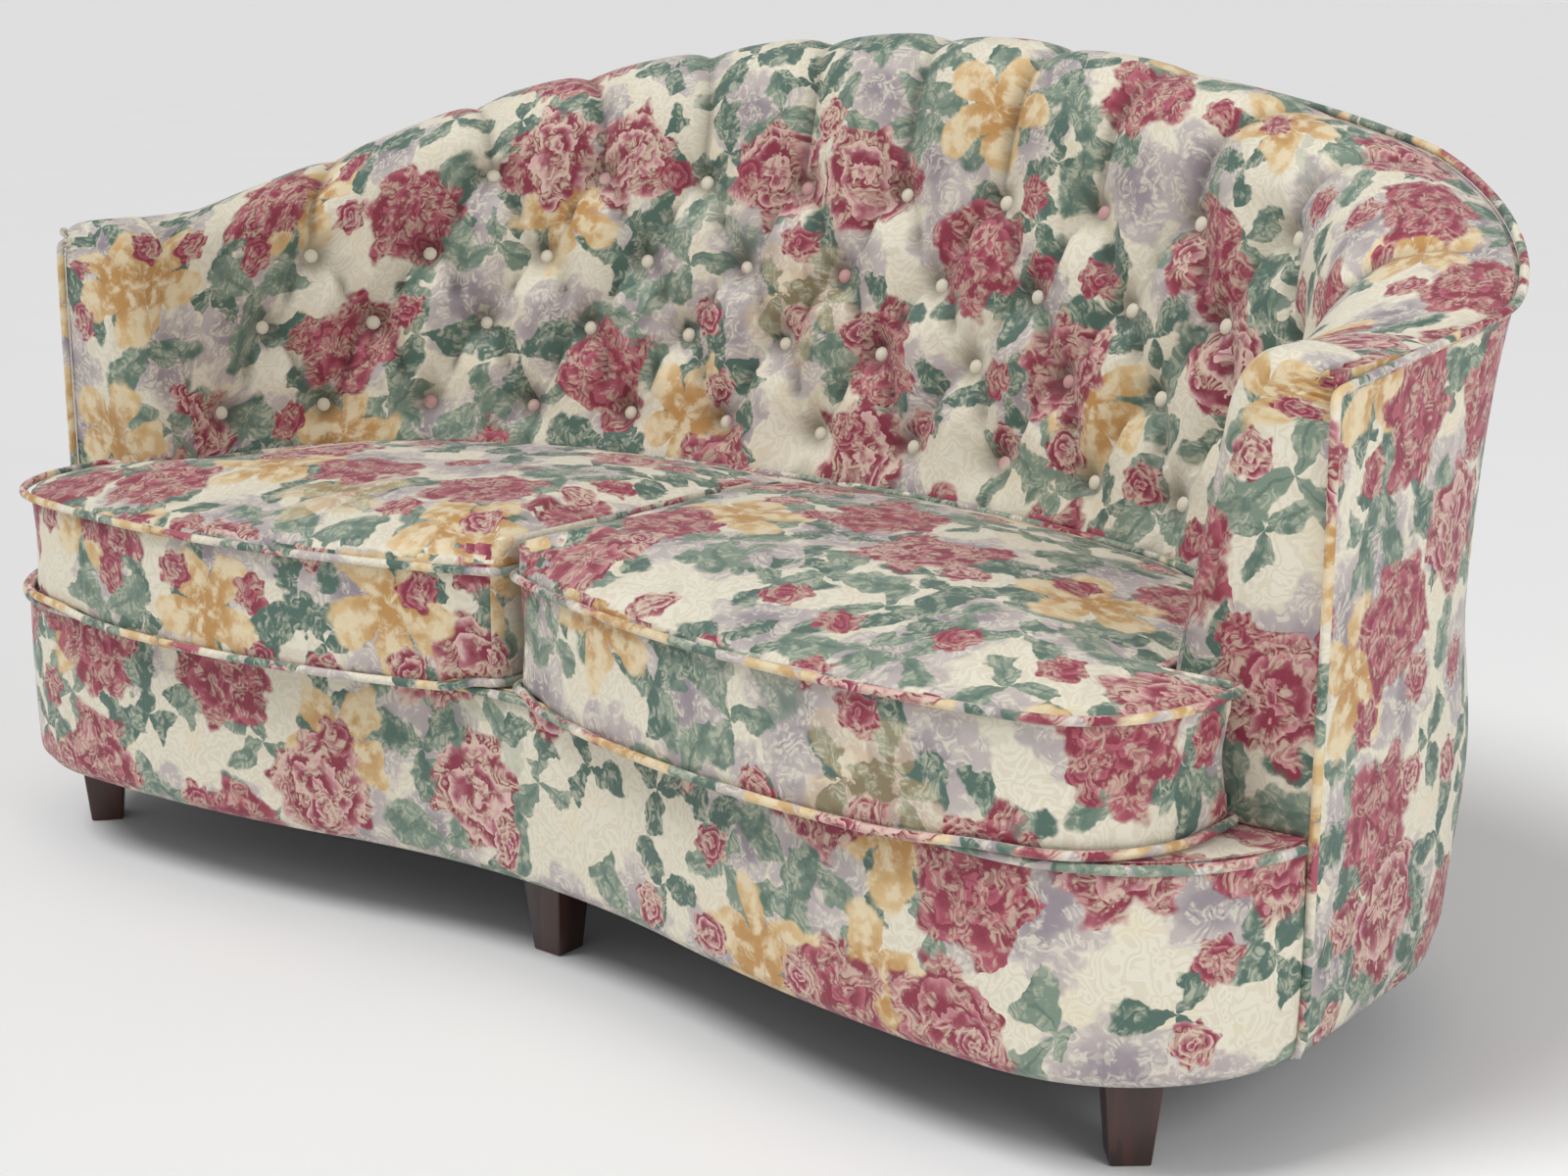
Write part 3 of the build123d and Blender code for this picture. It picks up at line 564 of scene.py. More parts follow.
def fabric(name, weave=1.0):
    """The upholstery cloth; painted shade darkens it where the attribute fold marks a crease."""
    finish = Finish(name, 0.62, Sheen_Weight=0.18, Sheen_Roughness=0.45, Specular_IOR_Level=0.38)
    cloth = finish.cloth()
    colour, damask = floral(finish, cloth)
    spun = finish.noise(cloth, 900, 2)["Fac"]
    colour = finish.mix(spun.ramp(0.3, 0.75) * 0.12, colour, THREAD)
    # Painted shade: the colour darkens towards the crease colour where the attribute fold says a crease
    # lies.
    fold = finish.node("ShaderNodeAttribute", {"attribute_name": "fold"})["Fac"]
    finish.feed("Base Color", finish.mix(fold * 0.7, colour, CREASE_SHADE))
    finish.feed("Roughness", 0.7 - damask * 0.2)
    xyz = finish.node("ShaderNodeSeparateXYZ", {}, [cloth])
    warp = (xyz[0] * 3900).sin() * (xyz[1] * 3900).sin()
    finish.bump(warp * 0.3 + spun * 0.7 + damask * 0.5, 0.35 * weave, 0.0006)
    return finish.material


FLORAL = fabric("floral_cloth")
PIPING = fabric("piping_cloth", 0.6)
print("floral print", len(FLORAL.node_tree.nodes), "nodes")

# %% [markdown]
# ## Wood, lining and metal
# The legs are dark reddish wood under a satin finish. The frame inside is plain sawn
# hardwood, the straps are webbing and the underside is a thin black cloth. They read Object
# coordinates, stretched along the grain.

# %% Plain finishes
def timber(name, dark, light, roughness, coat, stretch):
    finish = Finish(name, roughness, Coat_Weight=coat, Coat_Roughness=0.25)
    mapped = {"Vector": finish.spot(), "Scale": stretch}
    along = finish.node("ShaderNodeMapping", {}, mapped)["Vector"]
    ring = finish.noise(along, 9, 6, "3D")["Fac"]
    pore = finish.noise(along, 70, 3, "3D")["Fac"]
    grain = (ring * 6).fract().ramp(0, 1) * 0.5 + pore.ramp(0.4, 0.7) * 0.4
    finish.feed("Base Color", finish.mix(grain, dark, light))
    finish.feed("Roughness", roughness + pore * 0.2 - 0.1)
    finish.bump(pore + ring * 0.4, 0.15, 0.0008)
    return finish.material


def woven(name, dark, light, pitch):
    finish = Finish(name, 0.9)
    spot = finish.spot()
    xyz = finish.node("ShaderNodeSeparateXYZ", {}, [spot])
    threads = (xyz[0] * (2 * pi / pitch)).sin() * (xyz[1] * (2 * pi / pitch)).sin()
    fuzz = finish.noise(spot, 240, 3, "3D")["Fac"]
    finish.feed("Base Color", finish.mix(threads.ramp(-0.6, 0.6) * 0.6 + fuzz * 0.3, dark, light))
    finish.bump(threads + fuzz, 0.4, 0.0006)
    return finish.material


def steel(name):
    finish = Finish(name, 0.4, Metallic=1.0)
    scuff = finish.noise(finish.spot(), 180, 4, "3D")["Fac"]
    finish.feed("Base Color", finish.mix(scuff, (0.32, 0.32, 0.33), (0.55, 0.55, 0.56)))
    finish.feed("Roughness", 0.3 + scuff * 0.3)
    return finish.material


# %% Finishes on the solids
LEG_WOOD = timber("leg_wood", (0.018, 0.006, 0.004), (0.075, 0.022, 0.014), 0.38, 0.35, (1.0, 1.0, 0.12))
FRAME_WOOD = timber("frame_wood", (0.3, 0.18, 0.09), (0.6, 0.42, 0.25), 0.7, 0.0, (0.12, 1.0, 1.0))
STRAP = woven("webbing_cloth", (0.16, 0.11, 0.06), (0.42, 0.32, 0.2), 0.004)
BLACK_CLOTH = woven("dust_cloth", (0.006, 0.006, 0.007), (0.03, 0.03, 0.032), 0.002)
BOLT = steel("bolt_steel")
for node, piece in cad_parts.items():
    plain = STRAP if node == "seat_webbing" else BOLT if node == "leg_bolts" else FRAME_WOOD
    piece.data.materials.clear()
    piece.data.materials.append(plain)
print("plain finishes on", len(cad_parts), "solids")

# %% [markdown]
# ## The buttoned inside back
# This is the piece that takes most skill. Rows of buttons pull the padding in, each row
# half a pitch from the next, and the spare cloth lies in folds between neighbours, so the
# padding stands up in diamonds. From the top row the folds run up over the roll. A sculpted
# grid does this better than a simulation, because every fold has a known place: the depth
# at a spot comes from its nearest button and its nearest fold, and a fold is steep below
# and easy above, since pleats are laid facing down.

# %% Button places and folds
PITCH, ROWS = 132.5, ((734, 9), (639, 12), (557, 13), (461, 14))
NEAR = 0.6 * PITCH
BUTTON_ROWS = [[((i - (count - 1) / 2) * PITCH, z) for i in range(count)] for z, count in ROWS]
BUTTONS = [place for row in BUTTON_ROWS for place in row]
FOLDS = [(a, b) for upper, lower in zip(BUTTON_ROWS, BUTTON_ROWS[1:]) for a in upper for b in lower
         if abs(a[0] - b[0]) < NEAR]
PLEATS = []
for above, row in zip([[]] + BUTTON_ROWS, BUTTON_ROWS):
    PLEATS += [(s, z) for s, z in row if not any(abs(s - t) < NEAR for t, _ in above)]
TUCKS = BUTTON_ROWS[-1]
print(len(BUTTONS), "buttons,", len(FOLDS), "folds and", len(PLEATS), "pleats over the roll")

# %% [markdown]
# Two numbers are worked out together at every spot of the cover: how deep it is drawn in,
# and how much painted shade its crease gets. The second goes into the mesh as an attribute
# that the fabric reads and paints as shade, because light hardly gets into a real fold. A
# fold sways a little between its two buttons, as laid cloth does.

# %% Depth and shade of the buttoning
# The WIDE numbers shape the depth; the width after them in each line says how far the painted crease
# shade spreads.
BUTTON_WIDE, BUTTON_SHADE = 30, 17
FOLD_WIDE, FOLD_SHADE, FOLD_SWAY = (24, 10), 5, 8
PLEAT_WIDE, PLEAT_SHADE, TUCK_WIDE, EASE = (26, 12), 4.5, 20, 12


def pulled(s, z, over):
    """How deep the buttoning pulls, and how much painted shade its creases get, each from 0 to 1.

    over is the share of the roll passed.
    """
    deep = np.zeros(np.broadcast(s, z).shape)
    # dark is the painted shade of the creases, kept apart from the depth.
    dark = np.zeros_like(deep)
    for a, b in BUTTONS:
        r = np.hypot(s - a, z - b) * (1 + 3 * over)
        deep = np.maximum(deep, np.exp(-(r / BUTTON_WIDE)**1.1))
        dark = np.maximum(dark, np.exp(-(r / BUTTON_SHADE)**2))
    for (a, b), (c, d) in FOLDS:
        length = np.hypot(c - a, d - b)
        t = np.clip(((s - a) * (c - a) + (z - b) * (d - b)) / length**2, 0, 1)
        sway = FOLD_SWAY * np.sin(2 * pi * t) * np.sign(c - a)
        ds, dz = s - mix(a, c, t) - sway, z - mix(b, d, t)
        r, wide = np.hypot(ds, dz), np.where(dz > 0, *FOLD_WIDE)
        ends = 0.2 * (2 * t - 1)**2
        deep = np.maximum(deep, (0.66 + ends) * np.exp(-(r / wide)**0.95) * (1 - over))
        dark = np.maximum(dark, (0.75 + ends) * np.exp(-(r / FOLD_SHADE)**2) * (1 - over))
    for a, b in PLEATS:
        start, wide = smooth((z - b) / EASE + 0.5), np.where(s > a, *PLEAT_WIDE)
        crease = np.exp(-(np.abs(s - a) / wide)**1.05)
        deep = np.maximum(deep, 0.6 * start * (1 - 0.9 * over) * crease)
        dark = np.maximum(dark, 0.8 * start * (1 - over) * np.exp(-((s - a) / PLEAT_SHADE)**2))
    for a, b in TUCKS:
        start = smooth((b - z) / EASE + 0.5)
        deep = np.maximum(deep, 0.4 * start * np.exp(-(np.abs(s - a) / TUCK_WIDE)**1.2))
    return deep, dark


halfway = pulled(np.zeros(1), np.full(1, ROWS[1][0]), 0.0)[0]
print("halfway between two buttons the cloth is drawn in by", round(float(halfway[0]), 2), "of the depth")

# %% [markdown]
# The cover runs to the end of the arms, where the arm front wraps back over the roll and is
# sewn to it. The roll fans out there: a short way along the buttons is a long way along the
# outside piping, so the last columns lie close together.

# %% Inside back cover
DEPTH, PUFF = 42, 1.2


def tufted_grid(places, heights):
    """Points of the buttoned cover, and the painted shade of their folds."""
    base = padded_face(places[:, None], heights[None, :])
    over = smooth((heights - LINE_END) / (1.0 - LINE_END))[None, :]
    climbed = travelled(base, 1)
    at_turn = np.array([np.interp(LINE_END, heights, row) for row in climbed])[:, None]
    on_roll = turn_height(places)[:, None] + climbed - at_turn
    z = np.where(heights[None, :] <= LINE_END, base[..., 2], on_roll)
    fade = 1 - smooth((heights - 0.9) / 0.09)[None, :]
    deep, dark = pulled(places[:, None], z, over)
    puff = PUFF * np.sin(places[:, None] / 61 + z / 83) * np.sin(z / 71) * (1 - over)
    return base + into(base) * (DEPTH * deep * fade + puff)[..., None], dark * fade


heights = np.concatenate([np.linspace(0, LINE_END, 116)[:-1], np.linspace(LINE_END, CREST, 38)[:-1],
                          np.linspace(CREST, 1, 24)])
BEND_END, COVER_END = BUTTON_LINE.marks[2] - 2, RUN - 0.3
arm_places = np.linspace(BEND_END, COVER_END, 26)
places = np.concatenate([-arm_places[::-1], np.linspace(-BEND_END, BEND_END, 440)[1:-1], arm_places])
tufts, shade = tufted_grid(places, heights)
up_cloth = cloth_lengths(padded_face(places[:, None], heights))
inside_back = finish_mesh("inside_back_cover", cloth_grid(tufts, up_cloth, (0, 150, 560), 0.02, shade),
                          SOFA, ["inside_back"], FLORAL)

# %% [markdown]
# Each button is a small dome covered in the same cloth and drawn down to the bottom of its
# dip. A flattened sphere is enough, since only the cap shows. A cap is cut from a scrap, so
# it is plain cream or pink.

# %% Button cloth
cap = Finish("button_cloth", 0.6, Sheen_Weight=0.18)
cap_cloth = cap.cloth()
cap_tint = cap.mix(cap.noise(cap_cloth, 9, 1)["Fac"].ramp(0.55, 0.62), CREAM, PINK)
cap.feed("Base Color", cap.mix(cap.noise(cap_cloth, 500, 2)["Fac"] * 0.4, cap_tint, CREAM_DARK))
cap.bump(cap.noise(cap_cloth, 900, 2)["Fac"], 0.3, 0.0006)
print("button cloth", len(cap.tree.nodes), "nodes")

# %% Buttons
BUTTON_R, BUTTON_FLAT, BUTTON_SINK = 0.0098, 0.55, DEPTH - 6


def button_spot(s, z):
    """Place and facing of a button, on the tufted cover."""
    v = LINE_END * (z - BASE_HIGH) / (float(turn_height(s)) - BASE_HIGH)
    around = padded_face(np.array([s - 4, s, s + 4])[:, None], np.array([v - 0.01, v, v + 0.01])[None, :])
    n = into(around)[1, 1]
    return around[1, 1] + n * BUTTON_SINK, -n


bm = bmesh.new()
for s, z in BUTTONS:
    spot, facing = button_spot(s, z)
    turn = Vector(facing).to_track_quat("Z", "Y").to_matrix().to_4x4()
    place = Matrix.Translation(Vector(metres(spot))) @ turn @ Matrix.Diagonal((1, 1, BUTTON_FLAT, 1))
    bmesh.ops.create_uvsphere(bm, u_segments=16, v_segments=9, radius=BUTTON_R, matrix=place)
uv = bm.loops.layers.uv.new("cloth")
for face in bm.faces:
    for loop in face.loops:
        loop[uv].uv = (loop.vert.co.x + loop.vert.co.y * 0.6, loop.vert.co.z)
finish_mesh("buttons", bm, SOFA, ["back_buttons"], cap.material)

# %% [markdown]
# ## Outside covers
# The outside is a plain stretched cover in three widths. It swells a little at the base,
# draws in at a waist and flares out to the piping under the crest. Each arm's width is
# carried forward in a narrow strip to the piping at the arm front.

# %% Outside arms and back
def outside_face(s, w):
    x, y, nx, ny = BASE_LINE.at(BASE_LINE.like(BUTTON_LINE, s))
    high = welt_point(s)
    spread = smooth((RUN - np.abs(s)) / 350)
    swell = 20 * spread * np.sin(pi * np.minimum(w / 0.55, 1))**2
    out = swell - 7 * smooth(1 - w / 0.05)
    flare = mix(w**6, w**3, spread)
    return stack(mix(x, high[..., 0], flare) + out * nx, mix(y, high[..., 1], flare) + out * ny,
                 mix(BASE_LOW, high[..., 2], w))


def even_places(lo, hi, count):
    """Places evenly spaced along the base rather than along the buttons."""
    marks = BASE_LINE.like(BUTTON_LINE, np.array([lo, hi]))
    return BUTTON_LINE.like(BASE_LINE, np.linspace(*marks, count))


def arm_lead(side, w):
    """The last strip of an outside arm, carried forward to the piping at the arm front."""
    edge = outside_face(np.full(1, side * RUN)[:, None], w[None, :])
    y = np.linspace(FACING_Y + 2, ARM_END, 7)[:-1, None]
    low = 1 - smooth((edge[..., 2] - 240) / 60)
    corner = BASE_HALF - LOBE_X - np.sqrt(CORNER_R**2 - (CORNER_Y - y)**2)
    return stack(edge[..., 0] - side * low * corner, y, edge[..., 2])


WIDTHS = (("left_outside_arm", -RUN, -RUN / 2, 70, 0.4), ("outside_back", -RUN / 2, RUN / 2, 130, 2.1),
          ("right_outside_arm", RUN / 2, RUN, 70, 1.3))
w = np.linspace(0, 1, 70)
for name, lo, hi, count, shift in WIDTHS:
    sheet = outside_face(even_places(lo, hi, count)[:, None], w[None, :])
    if lo == -RUN:
        sheet = np.concatenate([arm_lead(-1, w), sheet])
    if hi == RUN:
        sheet = np.concatenate([sheet, arm_lead(1, w)[::-1]])
    bm = cloth_grid(sheet, cloth_lengths(sheet, (shift, 0.2)), (0, 350, 400), 0)
    bmesh.ops.reverse_faces(bm, faces=bm.faces[:])
    turn_in_hem(bm, bm.loops.layers.uv["cloth"], 0.01)
    cover = finish_mesh(name + "_cover", bm, SOFA, [name], FLORAL)

# %% [markdown]
# ## Arm fronts
# The arm front is a padded panel. It rounds softly into the inside of the arm, wraps a
# little way back over the roll and is gathered towards the piping at the outer top. A fan of
# lines does this: each starts on the roll, comes forward, turns through a quarter circle
# and crosses the front to the piping.

# %% Fan of the arm front
WRAP_Y, EDGE_R, TOP_R = 152, 30, 7
FACING_SWELL, PUCKER = 5, 1.7


def facing_fan():
    """Lines of the right arm front, and each line point's height on the cover."""
    v = np.concatenate([np.linspace(0, LINE_END, 60)[:-1], np.linspace(LINE_END, 0.975, 60)])
    at_end = padded_face(np.full((3, 1), RUN) + np.array([[-2], [-1], [0]]), v[None, :])
    level, n = at_end[2] * (1, 0, 1), into(at_end)[2] * (1, 0, 1)
    n /= np.linalg.norm(n, axis=-1, keepdims=True)
    high = float(welt_point(RUN)[2])
    past = smooth((v - LINE_END) / (1 - LINE_END))
    z_out = np.where(v <= LINE_END, level[:, 2], mix(float(turn_height(RUN)), high - 2, past))
    outer = outside_face(np.full_like(v, RUN), (z_out - BASE_LOW) / (high - BASE_LOW))
    outer = outer * (1, 0, 1) + (0, FACING_Y, 0)
    radius = mix(EDGE_R, TOP_R, smooth((v - 0.72) / 0.24))[:, None]
    proud = (0.4 + 1.4 * smooth((v - 0.62) / 0.1))[:, None]
    lines = [level + (0, y, 0) - n * proud for y in np.linspace(WRAP_Y, FACING_Y + EDGE_R, 12)]
    for a in np.linspace(0, pi / 2, 11)[1:]:
        y = FACING_Y + radius * (1 - sin(a))
        lines.append(level + n * (radius * (1 - cos(a)) - proud) + y * (0, 1, 0))
    start = lines[-1]
    for t in np.linspace(0, 1, 26)[1:]:
        swell = FACING_SWELL * np.sin(pi * min(1, 0.25 + 0.75 * t)) * smooth((start[:, 2] - 425) / 70)
        pucker = PUCKER * np.sin(v * 150) * smooth((v - 0.7) / 0.12) * smooth((t - 0.3) / 0.5)
        lines.append(mix(start, outer, t) - stack(0, swell - pucker, 0))
    return np.stack(lines), v


fan, fan_heights = facing_fan()
print("arm front fan of", fan.shape[0], "by", fan.shape[1], "points")

# %% Arm facings
forward = travelled(fan) / 1000 - (WRAP_Y - ARM_END) / 1000
up = np.broadcast_to(np.interp(fan_heights, heights, up_cloth[-1, :, 1]), forward.shape)
for side in (1, -1):
    start = up_cloth[-1, len(heights) // 2, 0] + forward if side > 0 else -forward
    bm = cloth_grid(fan * (side, 1, 1), np.stack([start, up], -1), (side * 690, -900, 560), 0.006)
    panel = finish_mesh(SIDES[side] + "_arm_front", bm, SOFA, [SIDES[side] + "_arm_facing"],
                        FLORAL)

# %% [markdown]
# ## Front border
# Below the seat a plain band follows the kidney line, crowned a little by its wadding and
# turned under at the bottom edge. A slight ripple along it keeps the light from lying flat.

# %% Front border
run = np.linspace(-FRONT_RUN, FRONT_RUN, 260)[:, None]
w = np.linspace(0, 1, 40)[None, :]
x, y, nx, ny = front_line(run)
out = 3.2 * np.sin(pi * w)**0.7 - 8 * smooth(1 - w / 0.06) - 4 * smooth((w - 0.96) / 0.04)
out = out + 0.7 * np.sin(run / 47 + 2 * np.sin(run / 130)) * np.sin(pi * w)
band = stack(x + nx * out, y + ny * out, mix(BASE_LOW, BASE_HIGH, w))
band = band[band[:, 20, 1] < FACING_Y + 2]
bm = cloth_grid(band, cloth_lengths(band, (0.6, 0.9)), (0, -3000, 200), 0.01)
border = finish_mesh("front_border_cover", bm, SOFA, ["front_border"], FLORAL)

# %% [markdown]
# ## Piping
# Every edge is finished with piping: a cord in a strip of the same cloth. A grid rolled
# into a tube along the edge keeps the print running round the cord. The section is carried
# from point to point without twist.

# %% Tubes along an edge
AROUND, STRIP = 13, 0.028


def tube(path, radius, closed=False):
    """Rings of points round a path."""
    path = np.vstack([path, path[:1]]) if closed else path
    ahead = np.gradient(path, axis=0)
    if closed:
        ahead[0] = ahead[-1] = path[1] - path[-2]
    side, rings = np.array([1.0, 0.2, 0.1]), []
    turns = np.linspace(0, 2 * pi, AROUND)[:, None]
    for p, t in zip(path, unit(ahead)):
        if closed:
            side = np.array([0, 0, 1.0])
        side = unit(side - t * side.dot(t))
        rings.append(p + radius * (np.cos(turns) * side + np.sin(turns) * np.cross(t, side)))
    return np.array(rings)


def piping_mesh(tubes, shift):
    """One bmesh of several closed tubes."""
    joined = bmesh.new()
    for rings in tubes:
        along = travelled(rings.mean(axis=1))[:, None] / 1000 + shift
        cloth = np.stack(np.broadcast_arrays(along, np.linspace(0, STRIP, AROUND)[None, :]), -1)
        bm = cloth_grid(rings, cloth, (0, 0, 400), 0)
        bmesh.ops.remove_doubles(bm, verts=bm.verts[:], dist=1e-5)
        bmesh.ops.holes_fill(bm, edges=[e for e in bm.edges if e.is_boundary], sides=20)
        bmesh.ops.recalc_face_normals(bm, faces=bm.faces[:])
        part = bpy.data.meshes.new("tube")
        bm.to_mesh(part)
        bm.free()
        joined.from_mesh(part)
        bpy.data.meshes.remove(part)
    return joined


def evenly(path, step, closed=False):
    """The same path with points an even step apart."""
    path = np.vstack([path, path[:1]]) if closed else path
    along = travelled(path)
    marks = np.linspace(0, along[-1], int(along[-1] / step) + 1)
    even = np.stack([np.interp(marks, along, path[:, k]) for k in range(3)], -1)
    return even[:-1] if closed else even


print("piping", 2 * WELT_R, "mm thick from strips of", 1000 * STRIP, "mm")

# %% [markdown]
# One piping climbs an arm front, goes round the crest and comes down the other arm. Its
# path is eased where the climb meets the crest. The other lies along the top of the border.

# %% Piping of the sofa
PIPE_STEP, CREST_END = 5, 0.985 * RUN
w = np.linspace(0.012, 0.975, 60)
climb = outside_face(np.full_like(w, RUN), w) * (1, 0, 1) + (PIPE_OUT, FACING_Y - PIPE_OUT, 0)
crest = welt_point(np.linspace(CREST_END, -CREST_END, 300), PIPE_OUT) + (0, 0, PIPE_OUT)
path = evenly(np.vstack([climb, crest, (climb * (-1, 1, 1))[::-1]]), PIPE_STEP)
for _ in range(3):
    path[1:-1] = (path[:-2] + 2 * path[1:-1] + path[2:]) / 4
finish_mesh("outside_piping", piping_mesh([tube(path, WELT_R)], 0.3), SOFA, ["outside_welt"],
            PIPING)
x, y, _, _ = front_line(np.linspace(-FRONT_RUN, FRONT_RUN, 500), WELT_R)
path = stack(x, y, BASE_HIGH - WELT_R - 0.4)
path = evenly(path[path[:, 1] < FACING_Y - 3 * WELT_R], PIPE_STEP)
finish_mesh("border_piping", piping_mesh([tube(path, WELT_R)], 0.7), SOFA, ["border_welt"],
            PIPING)

# %% [markdown]
# ## Cushion plan
# Each loose cushion is cut to the seat: bowed in front, with an ear that comes round before
# the arm, and curved behind to the back. Its outline is a few runs with rounded corners.

# %% Rounded outline
CORNERS = (140, 7, 5.4, 20, 24)
print("corner radii, from the ear round to the front:", CORNERS, "mm")


def rounded(runs, radii):
    """Joins runs into a closed line, easing each corner to a radius."""
    cut, ends = [], []
    for k, run in enumerate(runs):
        nxt = runs[(k + 1) % len(runs)]
        a, b = unit(run[-2] - run[-1]), unit(nxt[1] - nxt[0])
        half = np.arccos(np.clip(a.dot(b), -1, 1)) / 2
        ends.append((radii[k] / tan(half), pi - 2 * half))
    for k, run in enumerate(runs):
        along = travelled(run)
        marks = np.linspace(ends[k - 1][0], along[-1] - ends[k][0], 80)
        cut.append(np.stack([np.interp(marks, along, run[:, i]) for i in range(2)], -1))
    line = []
    for k, run in enumerate(cut):
        nxt, (_, angle) = cut[(k + 1) % len(cut)], ends[k]
        reach = 4 / 3 * tan(angle / 4) * radii[k]
        a, b = unit(run[-1] - run[-2]) * reach, unit(nxt[0] - nxt[1]) * reach
        line += [run, bezier(run[-1], run[-1] + a, nxt[0] + b, nxt[0], np.linspace(0, 1, 14)[1:-1])]
    return np.vstack(line)


# %% Outline of the right cushion
EASE_GAP, SEAM_STEP = 0.4, 5
EAR = np.array([BASE_HALF - 67, FACING_Y - WELT_R - EASE_GAP])
bow_r = ((BOW_X - INNER_X)**2 + BOW**2) / (2 * BOW)
a0, a1 = np.arcsin((INNER_X - BOW_X) / bow_r), np.arcsin((EAR[0] - BOW_X) / bow_r)
a = np.linspace(a0, a1, 90)
bow = np.stack([BOW_X + bow_r * np.sin(a), INNER_Y - BOW + bow_r - bow_r * np.cos(a)], -1)
seat_in = float(lean(RUN, SEAT_WELT)) - TUFT - EASE_GAP - WELT_R
x, y, _, _ = BUTTON_LINE.at(np.linspace(BUTTON_LINE.marks[2], INNER_X, 160), seat_in)
rear = np.stack([x, y], -1)
waist = np.array([rear[0, 0], EAR[1]])
runs = [bow, np.linspace(bow[-1], EAR, 30), np.linspace(EAR, waist, 10),
        np.vstack([np.linspace(waist, rear[0], 40), rear[1:]]), np.linspace(rear[-1], bow[0], 60)]
plan = rounded(runs, CORNERS)
seam = evenly(np.column_stack([plan, np.zeros(len(plan))]), SEAM_STEP, closed=True)
print("cushion seam", SEAM_STEP * len(seam), "mm")

# %% [markdown]
# ## Loose seat cushions
# A cushion is a bag of cloth sewn to its piping and filled until it crowns. A cloth
# simulation gives that: the solid is remeshed evenly, held along both pipings and blown up
# by a little pressure. How far a point may move is capped, less behind, where the back
# stops it. The right cushion is made first, and the left one is its mirror image.

# %% An even skin
def settled(shell):
    """Replaces an object's mesh by what its modifiers make of it."""
    seen = shell.evaluated_get(bpy.context.evaluated_depsgraph_get())
    mesh = bpy.data.meshes.new_from_object(seen)
    shell.modifiers.clear()
    shell.data = mesh
    return shell


def even_shell(node, voxel):
    """An even skin over a copy of a solid."""
    bm = bmesh.new()
    bm.from_mesh(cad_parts[node].data)
    bmesh.ops.remove_doubles(bm, verts=bm.verts[:], dist=1e-5)
    mesh = bpy.data.meshes.new("shell")
    bm.to_mesh(mesh)
    bm.free()
    shell = bpy.data.objects.new("shell", mesh)
    bpy.context.scene.collection.objects.link(shell)
    skin = shell.modifiers.new("skin", "REMESH")
    skin.mode, skin.voxel_size = "VOXEL", voxel
    return settled(shell)


def positions(mesh):
    flat = np.empty(len(mesh.vertices) * 3)
    mesh.vertices.foreach_get("co", flat)
    return flat.reshape(-1, 3)


shell = even_shell("right_cushion", 0.006)
print("cushion skin of", len(shell.data.vertices), "points")

# %% Distances from the seams
LOW_SEAM, HIGH_SEAM = LOW_WELT / 1000, SEAT_WELT / 1000
TREE = kdtree.KDTree(len(seam))
for number, point in enumerate(metres(seam)):
    TREE.insert((point[0], point[1], 0), number)
TREE.balance()


def near_seam(spots):
    """For each spot, the nearest point of the seam and how far it is, seen from above."""
    found = [TREE.find((p[0], p[1], 0)) for p in spots]
    return np.array([f[1] for f in found]), np.array([f[2] for f in found])


def from_welts(spots):
    """Distance from the seam in plan, and in height from the nearer piping."""
    tall = np.abs(spots[:, 2:] - (LOW_SEAM, HIGH_SEAM)).min(axis=1)
    return near_seam(spots)[1], tall


print("the cushion is", round(1000 * (HIGH_SEAM - LOW_SEAM)), "mm high between its pipings")

# %% Blow it up
HELD, PRESSURE, STIFF, FRAMES, MOST, LEAST = 0.011, 4, 25, 20, 0.012, 0.0006


def blown(shell):
    """Swells the shell under pressure, held along its pipings."""
    start = positions(shell.data)
    away, tall = from_welts(start)
    held = shell.vertex_groups.new(name="held")
    held.add([int(i) for i in np.flatnonzero(np.hypot(away, tall) < HELD)], 1.0, "REPLACE")
    cloth = shell.modifiers.new("fill", "CLOTH")
    cloth.settings.use_pressure, cloth.settings.uniform_pressure_force = True, PRESSURE
    cloth.settings.effector_weights.gravity = 0
    cloth.settings.vertex_group_mass = "held"
    cloth.settings.tension_stiffness = cloth.settings.compression_stiffness = STIFF
    cloth.point_cache.frame_end = FRAMES
    for number in range(1, FRAMES + 1):
        bpy.context.scene.frame_set(number)
    settled(shell)
    bpy.context.scene.frame_set(1)
    moved = positions(shell.data) - start
    back = smooth((start[:, 1] * 1000 + MIDDLE - 100) / 60) * smooth((0.035 - away) / 0.02)
    inner = smooth((0.03 - start[:, 0]) / 0.02)
    below = smooth((LOW_SEAM + 0.008 - start[:, 2]) / 0.01)
    cap = MOST * (1 - np.maximum(np.maximum(back, inner), below)) + LEAST
    far = np.linalg.norm(moved, axis=-1)
    moved *= np.minimum(1, cap / np.maximum(far, 1e-9))[:, None]
    print("cushion swelled up to", round(float(far.max()) * 1000, 1), "mm before its cap")
    return start + moved, away, tall


# %% [markdown]
# A filled cushion isn't quite even. Small gathers are drawn in along the seams, the top
# has soft hollows, and the lower front edge hangs a little where it stands out past the
# base, as a worn cushion does.

# %% Gathers and droop
GATHER, GATHER_WIDE, GATHER_IN, GATHER_DOWN, HOLLOW = 0.037, 0.02, 0.0009, 0.0008, 0.0022
DROP, TURN_RUN = 8, 330


